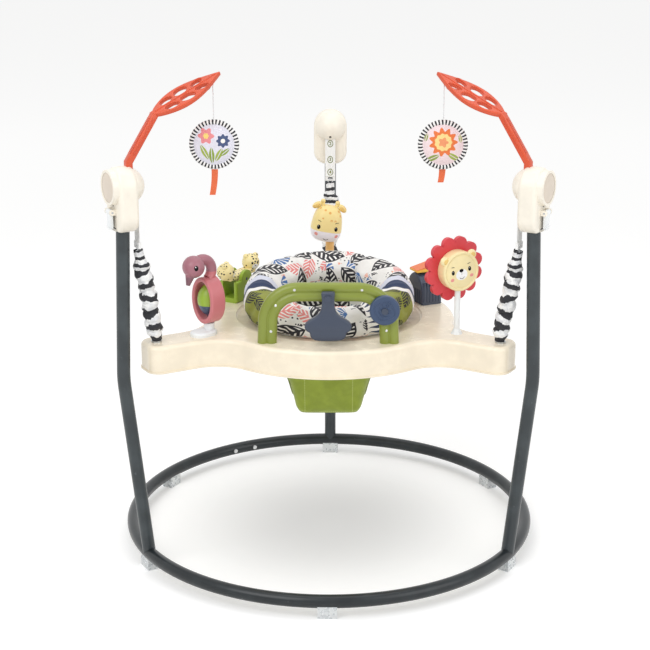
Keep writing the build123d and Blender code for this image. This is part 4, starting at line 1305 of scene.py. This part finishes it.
bird = {
    "place": (-226, -132),
    "turn": -138,
    "neckHeight": 576,
    "head": (33, 0, 136),
    "eyeTurn": 68,
}
giraffe = {
    "centre": (-6, 240, 581),
    "azimuth": -86,
    "roll": -10,
    "squareness": 2.9,
    "halfWidth": (27.5, 36),                    # at the top and at the bottom
    "halfDepth": (26, 35),
    "halfHeight": 38.5,
    "muzzleTop": -13.2,
    "ear": (27, 35, 0),
    "earTurn": 38,
    "earSize": (11, 6.6, 5),
    "earHollow": (7, 3.8, 1.4),
    "horn": ((13, 33, -2), (15.5, 45, -2)),
    "knob": (5, 4.6, 5),
}
soundBox = {
    "circle": 214,
    "angle": 25,
    "ribLow": 6,
    "ribHigh": 46,
    "ribRadius": 2.2,
    "ribAcross": (-17, -10.2, -3.4, 3.4, 10.2, 17),
}


def eggColour(finish):
    z = finish.axes(finish.spot())[2]
    return finish.mix(z.rise(511.6, 512.4), tint("44546e"), tint("97b53a"))


def spottedYellow(finish):
    spot = finish.spot()
    cells = finish.add("TexVoronoi", None, {"Vector": spot, "Scale": 0.155, "Randomness": 0.85})
    size = finish.grain(spot, 0.2, 1)
    dots = 1 - (cells - size * 0.16).rise(0.19, 0.23)
    return finish.mix(dots, tint("f3e2a4"), tint("1f1d1d"))


def giraffeColour(finish):
    x, z = finish.axes(finish.spot(giraffe["centre"]))[::2]
    roll = radians(giraffe["roll"])
    height = z * cos(roll) - x * sin(roll)
    muzzle = 1 - (height - giraffe["muzzleTop"]).rise(-0.6, 0.6)
    spots = finish.add("TexVoronoi", None, {"Vector": finish.spot(), "Scale": 0.085, "Randomness": 0.9})
    flecks = (1 - spots.rise(0.24, 0.29)) * height.rise(8, 14)
    base = finish.mix(flecks, tint("f4dd97"), tint("e6aa58"))
    return finish.mix(muzzle, base, tint("f1ecf2"))


def wedgeColour(finish):
    angle = soundBox["angle"]
    x, z = finish.axes(finish.spot((*onCircle(soundBox["circle"], angle), trayTop), angle))[::2]
    return finish.mix((z - x * 0.12).rise(72.4, 73.0), tint("f0b83f"), tint("e8763a"))


def birdColour(finish):
    x, z = finish.axes(finish.spot((*bird["place"], bird["neckHeight"]), bird["turn"]))[::2]
    head = z.rise(-0.4, 0.4).either(x.rise(22, 23))
    beak = x.rise(22, 30) * (1 - z.rise(-6, 2))
    skin = finish.mix(head, tint("c9757a"), tint("a56c78"))
    return finish.mix(beak, skin, tint("7d5560"))


birdPink = moulded("birdPlastic", "a56c78", 0.36, birdColour)
eggFinish = moulded("eggPlastic", "97b53a", 0.36, eggColour)
spotted = moulded("spottedYellow", "f3e2a4", 0.4, spottedYellow)
giraffeSkin = moulded("giraffeSkin", "f4cf76", 0.38, giraffeColour)
giraffeNeck = moulded("giraffeNeck", "f0be74", 0.38)
earShade = moulded("earShade", "ecc878", 0.4)
wedge = moulded("wedgeKey", "e8763a", 0.36, wedgeColour)


def each(prefix):
    return [prefix + name for name in stations]


solidFinishes = {
    shadedRingCoat: each("ring_segment_"),
    litPostCoat: each("post_"),
    steel: ["ring_couplers", "lever_pins", "spring_hooks"],
    zincScrew: ["ring_screws"],
    clear: ["foot_pads"],
    cream: each("tower_shell_") + each("tower_cover_"),
    trayCream: ["tray_shell", "tray_underside"],
    whitePlastic: each("lock_lever_") + ["lion_post", "bird_foot", "seat_ring", "seat_retainer"],
    olive: ["toy_arch"],
    slate: ["sound_box", "battery_door", "toy_axles"],
    navy: ["leaf_disc"],
    birdPink: ["bird_body"],
    eggFinish: ["bird_egg"],
    lime: ["rocker_base"],
    spotted: ["rocker"],
    red: ["lion_mane"],
    giraffeNeck: ["giraffe_neck", "giraffe_foot"],
    wedge: ["beak_key"],
}
for finish, members in solidFinishes.items():
    for member in members:
        nodes[member].data.materials.clear()
        nodes[member].data.materials.append(finish.material)
print("solids finished")


# Toy heads, and the eyes, cheeks, noses and smiles set on them

class FaceFrame:                                # a flat drawing plane in front of a toy
    standOff = 120

    def __init__(self, centre, azimuth, roll):
        self.centre = Vector(centre)
        self.out = Vector((cos(radians(azimuth)), sin(radians(azimuth)), 0))
        right = Vector((-self.out.y, self.out.x, 0))
        up = Vector((0, 0, 1))
        c, s = cos(radians(roll)), sin(radians(roll))
        self.right = right * c + up * s
        self.up = up * c - right * s
        self.turn = Matrix((self.right, self.up, self.out)).transposed().to_4x4()
        self.place = Matrix.Translation(self.centre) @ self.turn

    def meet(self, node, x, y):
        begin = self.centre + self.right * x + self.up * y + self.out * self.standOff
        return touch(node, begin, -self.out)

    def mark(self, shape, node, x, y, size, paint, lift):
        point, normal = self.meet(node, x, y)
        lean = self.out.rotation_difference(normal).to_matrix().to_4x4()
        addBall(shape, Matrix.Translation(point) @ lean @ self.turn, (*size, lift), paint, 8)

    def line(self, shape, node, points, radius):
        path = []
        for x, y in points:
            point, normal = self.meet(node, x, y)
            path.append(point + normal * radius * 0.3)
        addWire(shape, path, radius)


faceFinishes = [inkBlack, whiteInkAndGlint, cheekPink]


def eyePair(shape, view, node, half, height, size):
    wide, tall = size
    for flank in (-1, 1):
        across = flank * half
        view.mark(shape, node, across, height, size, 0, 0.9)
        # Each eye gets a small white dot at its upper left, a painted highlight.
        glint = (0.26 * wide, 0.22 * tall)
        view.mark(shape, node, across - 0.25 * wide, height + 0.42 * tall, glint, 1, 1.05)


lion = {
    "centre": (243, -129, 578),
    "azimuth": -62.6,
    "roll": 8,
    "drum": ((0, 12), (30.4, 12), (31.2, 11.5), (31.9, 10.9), (32.6, 11.4), (33.6, 12.5), (35.2, 13),
             (36.8, 12.4), (37.8, 11), (38, 9), (38, -10.4), (37.4, -11.6), (36, -12), (0, -12)),
    "ear": (29, 25.5, 5),
    "earSize": (9.6, 9.6, 6.6),
    "earHollow": (5.4, 5.4, 1.5),
}


def lionFace():
    shape = bmesh.new()
    view = FaceFrame(lion["centre"], lion["azimuth"], lion["roll"])
    node = "lion_face"
    addLathe(shape, lion["drum"], view.place, 0, 72)
    skins[node] = BVHTree.FromBMesh(shape)
    across, up, out = lion["ear"]
    for flank in (-1, 1):
        ear = view.place @ Matrix.Translation((flank * across, up, out))
        addBall(shape, ear, lion["earSize"], 0, 14)
        addBall(shape, ear @ Matrix.Translation((0, 0, lion["earSize"][2] - 0.8)), lion["earHollow"], 1, 10)
    makePiece("lionHead", shape, [yellow, earShade], "tray", [node])
    shape = bmesh.new()
    view.mark(shape, node, 0, -6, (12.5, 10.5), 1, 0.35)
    eyePair(shape, view, node, 18, 1.5, (3.3, 4.6))
    view.mark(shape, node, 0, 2, (4.6, 3.4), 0, 1.3)
    view.line(shape, node, [(-5, -11), (-2.6, -13.6), (0, -14.2), (2.6, -13.6), (5, -11)], 0.55)
    view.line(shape, node, [(0, -1), (0, -4), (0, -6.5)], 0.4)
    for flank in (-1, 1):
        view.mark(shape, node, flank * 21, -12, (4.0, 3.2), 2, 0.35)
        view.line(shape, node, [(flank * 14.5, 11.5), (flank * 17.5, 13.2), (flank * 20.5, 12.2)], 0.5)
    makePiece("lionFeatures", shape, faceFinishes, "tray")


def giraffeSkull(place):                        # a rounded block, wider and deeper towards the muzzle
    part = bmesh.new()
    bmesh.ops.create_uvsphere(part, u_segments=56, v_segments=36, radius=1)
    power = giraffe["squareness"]
    wideTop, wideBottom = giraffe["halfWidth"]
    deepTop, deepBottom = giraffe["halfDepth"]
    for vert in part.verts:
        spot = vert.co * sum(abs(c) ** power for c in vert.co) ** (-1 / power)
        low = (1 - spot.y) / 2
        wide, deep = wideTop + (wideBottom - wideTop) * low, deepTop + (deepBottom - deepTop) * low
        vert.co = (spot.x * wide, spot.y * giraffe["halfHeight"], spot.z * deep)
    shape = bmesh.new()
    join(shape, part, place)
    return shape


def giraffeFace():
    view = FaceFrame(giraffe["centre"], giraffe["azimuth"], giraffe["roll"])
    node = "giraffe_head"
    shape = giraffeSkull(view.place)
    skins[node] = BVHTree.FromBMesh(shape)
    for flank in (-1, 1):
        mirror = Vector((flank, 1, 1))
        ear = Matrix.Translation(Vector(giraffe["ear"]) * mirror)
        ear = view.place @ (ear @ Matrix.Rotation(radians(-flank * giraffe["earTurn"]), 4, "Z"))
        addBall(shape, ear, giraffe["earSize"], 0, 12)
        addBall(shape, ear @ Matrix.Translation((flank * 0.8, 0, 4.3)), giraffe["earHollow"], 1, 10)
        root, tip = (Vector(spot) * mirror for spot in giraffe["horn"])
        addRod(shape, view.place @ root, view.place @ tip, 4, 3.4)
        addBall(shape, view.place @ Matrix.Translation(tip), giraffe["knob"], 0, 12)
    makePiece("giraffeHead", shape, [giraffeSkin, earShade], "giraffe", [node])
    shape = bmesh.new()
    eyePair(shape, view, node, 18.4, -5, (3.8, 4.9))
    view.line(shape, node, [(-5, -28.5), (-2.5, -30.6), (0, -31.2), (2.5, -30.6), (5, -28.5)], 0.6)
    for flank in (-1, 1):
        view.mark(shape, node, flank * 21.5, -20.5, (4.2, 3.8), 2, 0.4)
        view.line(shape, node, [(flank * 15, 6.5), (flank * 18, 8.8), (flank * 21.5, 8.4)], 0.55)
    makePiece("giraffeFeatures", shape, faceFinishes, "giraffe")


seesaw = {
    "circle": 214,
    "angle": 150,
    "headAcross": 46,
    "headHeight": 66,
    "headTurn": 25,
}


def catFaces():
    shape = bmesh.new()
    angle, node = seesaw["angle"], "rocker"
    place = onTray(onCircle(seesaw["circle"], angle), angle)
    for flank in (-1, 1):
        centre = place @ Vector((0, flank * seesaw["headAcross"], seesaw["headHeight"]))
        view = FaceFrame(centre, angle + flank * seesaw["headTurn"] + 180, 0)
        view.mark(shape, node, 0, -5.5, (7.5, 5.6), 1, 1.0)
        eyePair(shape, view, node, 6.4, 2.2, (2.0, 2.7))
        view.mark(shape, node, 0, -2.8, (2.2, 1.6), 0, 1.9)
        view.line(shape, node, [(-3, -7.0), (0, -8.6), (3, -7.0)], 0.4)
    makePiece("catFeatures", shape, faceFinishes, "rocker")


def birdFace():
    shape = bmesh.new()
    centre = onTray(bird["place"], bird["turn"]) @ Vector(bird["head"])
    for flank in (-1, 1):
        view = FaceFrame(centre, bird["turn"] + flank * bird["eyeTurn"], 0)
        view.mark(shape, "bird_body", 0, 2, (4.0, 5.2), 0, 1.0)
        # The small white dot on the eye is a painted highlight.
        view.mark(shape, "bird_body", -1.2, 4.2, (1.4, 1.6), 1, 1.4)
    makePiece("birdFeatures", shape, faceFinishes, "tray")


lionFace()
giraffeFace()
catFaces()
birdFace()
print("toy faces done")


# Towers: cap discs, screws, panels and slots

tower = {
    "radius": 426,
    "capHeight": 755,
    "capReach": 28,
    "capSink": 1.25,
    "capDisc": 26.6,
    "capDome": ((0, 1.5), (0.5, 1.35), (0.8, 0.95), (0.94, 0.55), (1, 0)),      # share of the disc, lift
    "inside": 300,
    "outside": 520,
    "shellScrew": ((0, 0.3), (2.2, 0.3), (2.6, 0.15), (2.6, -1)),
    "screwDrop": 19,
    "coverScrew": ((0, 0.35), (1.8, 0.35), (2.3, 0.1), (2.3, -1)),
    "coverScrews": ((-12, 703), (12, 703), (0, 722)),
    "panel": (14, 19, 6),                       # half width, half height, corner
    "panelHeight": 694,
    "slot": (11, 1.3, 1.2),
    "slotDrop": 13,
    "plateDepth": 0.8,
}


def roundedBox(half, tall, corner):
    outline = []
    steps = 5
    for quarter, (x, y) in enumerate(((1, 1), (-1, 1), (-1, -1), (1, -1))):
        for step in range(steps + 1):
            turn = pi / 2 * (quarter + step / steps)
            spot = (x * (half - corner) + corner * cos(turn), y * (tall - corner) + corner * sin(turn))
            outline.append(spot)
    return outline


def towerDetails(name):
    shape = bmesh.new()
    turn = atStation(name)
    outward = turn @ Vector((1, 0, 0))

    def onCover(across, height):
        return touch("tower_cover_" + name, turn @ Vector((tower["outside"], across, height)), -outward)

    edge = tower["capDisc"]
    capSpot = (tower["radius"] + tower["capReach"] - tower["capSink"], 0, tower["capHeight"])
    cap = turn @ Matrix.Translation(capSpot) @ Matrix.Rotation(pi / 2, 4, "Y")
    addLathe(shape, [(edge * share, lift) for share, lift in tower["capDome"]], cap, 0, 48)
    # The screw heads are painted near black as the shade in their holes.
    begin = turn @ Vector((tower["inside"], 0, tower["capHeight"] - tower["screwDrop"]))
    spot, normal = touch("tower_shell_" + name, begin, outward)
    addLathe(shape, tower["shellScrew"], facing(normal, spot), 1, 20)
    for across, height in tower["coverScrews"]:
        spot, normal = onCover(across, height)
        addLathe(shape, tower["coverScrew"], facing(normal, spot), 1, 18)
    addHoop(shape, edge + 0.4, 0.5, cap, 2, 48)
    spot, normal = onCover(0, tower["panelHeight"])
    depth = tower["plateDepth"]
    addSlab(shape, roundedBox(*tower["panel"]), depth, facing(normal, spot - normal * 0.3), 0.3, 2)
    # The slot is a thin near-black plate, painted shade of an opening.
    lower = spot - Vector((0, 0, tower["slotDrop"]))
    addSlab(shape, roundedBox(*tower["slot"]), depth, facing(normal, lower - normal * 0.1), 0.2, 1)
    makePiece("towerTrim" + name.title(), shape, [beige, paintedRecessShade, panelGrey], "stand")


for name in stations:
    towerDetails(name)
print("tower trim done")


# Leaf arms: bent stems, windowed leaves, knurls, ribs and midribs

arm = {
    "knee": (412, 797),
    "end": (358, 879),
    "halfThick": 6,
    "halfWide": 8,
    "edge": 2,
    "knurls": 24,
    "knurlRadius": 1.2,
    "knurlRun": (0.16, 0.72),
    "ribLifts": (-3, 0, 3),
    "ribSteps": (0.16, 0.4, 0.65, 0.9),
    "ribRadius": 0.7,
    "midribSteps": (0.02, 0.3, 0.6, 0.94),
    "midribRadius": 1.6,
    "leafPitch": 26,
    "leafRoll": 14,
    "leafLength": 146,
    "leafHalf": 4.5,
    "start": (412, 771),
    "base": 7,
    "swell": 27,
    "tuck": 6,
    "rim": 6,
    "bridge": 3.5,
    "windows": ((33, 13.5), (66, 14.5), (99, 13)),      # place along the leaf, half length
    "lean": 14,
    "hang": (129, 14),                          # place along the leaf, drop
    "hangRadius": (0.6, 3),
}


def leafHalfWidth(along):
    t = along / arm["leafLength"]
    return arm["base"] * (1 - t) + arm["swell"] * sin(pi * t ** 0.85)


def leafOutlines():
    steps = [arm["leafLength"] * k / 30 for k in range(31)]
    rim = [(x, -leafHalfWidth(x)) for x in steps] + [(x, leafHalfWidth(x)) for x in steps[-2::-1]]
    outlines = [[(-arm["tuck"], -arm["base"])] + rim + [(-arm["tuck"], arm["base"])]]
    turns = [2 * pi * k / 28 for k in range(28)]
    c, s = cos(radians(arm["lean"])), sin(radians(arm["lean"]))
    for along, reach in arm["windows"]:
        inner = leafHalfWidth(along) - arm["rim"]
        middle, half = (inner + arm["bridge"]) / 2, (inner - arm["bridge"]) / 2
        for flank in (-1, 1):
            window = []
            for turn in turns:
                x, y = reach * cos(turn), half * sin(turn)
                window.append((along + x * c - y * s, flank * (middle + x * s + y * c)))
            outlines.append(window if flank < 0 else window[::-1])
    return outlines


def stemOutline():
    start, knee, end = (Vector(arm[key]) for key in ("start", "knee", "end"))
    first, second = (knee - start).normalized(), (end - knee).normalized()
    sides = []
    for flank in (-1, 1):
        across = [Vector((-way.y, way.x)) * flank * arm["halfThick"] for way in (first, second)]
        bend = (across[0] + across[1]).normalized() * arm["halfThick"] / cos(first.angle(second) / 2)
        sides.append([start + across[0], knee + bend, end + across[1]])
    return [tuple(spot) for spot in sides[0] + sides[1][::-1]]


def leafPlace(side):
    pitch, roll = radians(arm["leafPitch"]), radians(arm["leafRoll"])
    along = Vector((-cos(pitch), 0, sin(pitch)))
    sideways = Vector((0, 1 if side == "left" else -1, 0))
    normal = Vector((sin(pitch), 0, cos(pitch))) * cos(roll) + sideways * sin(roll)
    turn = Matrix((along, normal.cross(along), normal)).transposed().to_4x4()
    return Matrix.Translation((arm["end"][0], 0, arm["end"][1])) @ turn


def leafArm(side):
    shape = bmesh.new()
    place = leafPlace(side)
    addPlate(shape, [stemOutline()], arm["halfWide"], Matrix.Rotation(pi / 2, 4, "X"), arm["edge"])
    addPlate(shape, leafOutlines(), arm["leafHalf"], place, arm["edge"])
    along, drop = arm["hang"]
    top = place @ Vector((along, 0, 0))
    addRod(shape, top - Vector((0, 0, drop)), top, *arm["hangRadius"])
    bmesh.ops.transform(shape, matrix=atStation(side), verts=shape.verts)
    makePiece("leafArm" + side.title(), shape, [coral], "stand", ["leaf_arm_" + side])


def armTrim(side):
    shape = bmesh.new()
    knee, end = (Vector((arm[key][0], 0, arm[key][1])) for key in ("knee", "end"))
    run = end - knee
    outward = Vector((run.z, 0, -run.x)).normalized()
    reach = Vector((0, arm["halfWide"] - 3, 0))
    first, spread = arm["knurlRun"]
    for step in range(arm["knurls"]):
        spot = knee + run * (first + spread * step / (arm["knurls"] - 1)) + outward * arm["halfThick"]
        addRod(shape, spot - reach, spot + reach, arm["knurlRadius"], sides=8)
    for flank in (-1, 1):
        aside = Vector((0, flank * arm["halfWide"], 0))
        for lift in arm["ribLifts"]:
            path = [knee + run * t + outward * lift + aside for t in arm["ribSteps"]]
            addWire(shape, path, arm["ribRadius"])
    place = leafPlace(side)
    for face in (-1, 1):
        height = face * arm["leafHalf"]
        path = [place @ Vector((arm["leafLength"] * t, 0, height)) for t in arm["midribSteps"]]
        addWire(shape, path, arm["midribRadius"])
    bmesh.ops.transform(shape, matrix=atStation(side), verts=shape.verts)
    makePiece("armTrim" + side.title(), shape, [coral], "stand")


for side in ("left", "right"):
    leafArm(side)
    armTrim(side)
print("leaf arms done")


# Arch screws, sound box flutes, the clacker and the leaf relief on the spinning disc

archScrew = {
    "profile": ((0, 0.5), (1.9, 0.45), (2.5, 0.1), (2.6, -1)),
    "spots": ((-106, 478), (-97, 528), (-62, 558), (62, 558), (88, 540), (108, 480)),
}


def archTrim():
    shape = bmesh.new()
    for x, z in archScrew["spots"]:
        spot, normal = touch("toy_arch", (x, -400, z), (0, 1, 0))
        addLathe(shape, archScrew["profile"], facing(normal, spot), 0, 18)
    makePiece("archScrews", shape, [zincScrew], "tray")


clackerForm = {
    "middle": -205.9,
    "halfThick": 7.5,
    "edge": 3,
    "half": (                                   # height, half width
        (557, 9), (554, 12.5), (545, 11.6), (530, 12), (518, 15.5), (510, 24), (503, 35), (496, 42),
        (489, 43), (483, 39.5), (480, 34.5), (475, 33), (470, 31), (465.5, 24), (464, 12),
    ),
}


def clackerPlate():
    shape = bmesh.new()
    side = [Vector((half, height)) for height, half in clackerForm["half"]]
    loop = side + [Vector((-spot.x, spot.y)) for spot in reversed(side)]
    outline = []
    for k in range(len(loop)):                  # a smooth line through the points
        a, b, c, d = (loop[(k + shift) % len(loop)] for shift in (-1, 0, 1, 2))
        for t in (0, 0.25, 0.5, 0.75):
            bend = (2 * a - 5 * b + 4 * c - d) * (t * t / 2)
            twist = (3 * b - a - 3 * c + d) * (t ** 3 / 2)
            outline.append(tuple(b + (c - a) * (t / 2) + bend + twist))
    place = Matrix.Translation((0, clackerForm["middle"], 0)) @ Matrix.Rotation(pi / 2, 4, "X")
    addPlate(shape, [outline], clackerForm["halfThick"], place, clackerForm["edge"])
    makePiece("clackerPlate", shape, [slate], "clacker", ["clacker"])


discRelief = {
    "centre": (104, 521),
    "front": -208.4,
    "turn": -24,
    "stem": (-19, -6, 8, 20),
    "stemRadius": 1.1,
    "veins": (11, 13, 11, 7),
    "veinLow": -13,
    "veinStep": 7.2,
    "veinRadius": 0.8,
    "rimHalf": 10.5,
    "rimLow": -20,
}


def discLeaf():
    shape = bmesh.new()
    middleX, middleZ = discRelief["centre"]
    c, s = cos(radians(discRelief["turn"])), sin(radians(discRelief["turn"]))

    def at(x, z):
        return middleX + x * c - z * s, discRelief["front"], middleZ + x * s + z * c

    addWire(shape, [at(0, height) for height in discRelief["stem"]], discRelief["stemRadius"])
    for step, reach in enumerate(discRelief["veins"]):
        low = discRelief["veinLow"] + discRelief["veinStep"] * step
        for flank in (-1, 1):
            vein = [at(0, low), at(flank * reach * 0.5, low + 3.2), at(flank * reach, low + 8)]
            addWire(shape, vein, discRelief["veinRadius"])
    for flank in (1, -1):
        rim = []
        for step in range(21):
            out = discRelief["rimHalf"] * sin(step * pi / 20) * (2.0 - step / 20 * 0.2)
            rim.append(at(flank * out, discRelief["rimLow"] + 2 * step))
        addWire(shape, rim, discRelief["veinRadius"])
    makePiece("discLeafRelief", shape, [navy], "leaf_disc")


def boxRibs():                                  # upright flutes on the sound box's two ends
    shape = bmesh.new()
    place = onTray(onCircle(soundBox["circle"], soundBox["angle"]), soundBox["angle"])
    radius = soundBox["ribRadius"]
    for flank in (-1, 1):
        inward = place.to_3x3() @ Vector((0, -flank, 0))
        for across in soundBox["ribAcross"]:
            spot, normal = touch("sound_box", place @ Vector((across, flank * 60, 26)), inward)
            low = spot - normal * radius * 0.35
            high = low.copy()
            low.z, high.z = trayTop + soundBox["ribLow"], trayTop + soundBox["ribHigh"]
            addRod(shape, low, high, radius, sides=14)
            addBall(shape, Matrix.Translation(high), (radius,) * 3, 0, 7)
    makePiece("boxRibs", shape, [slate], "tray")


archTrim()
boxRibs()
clackerPlate()
discLeaf()
print("front toys done")
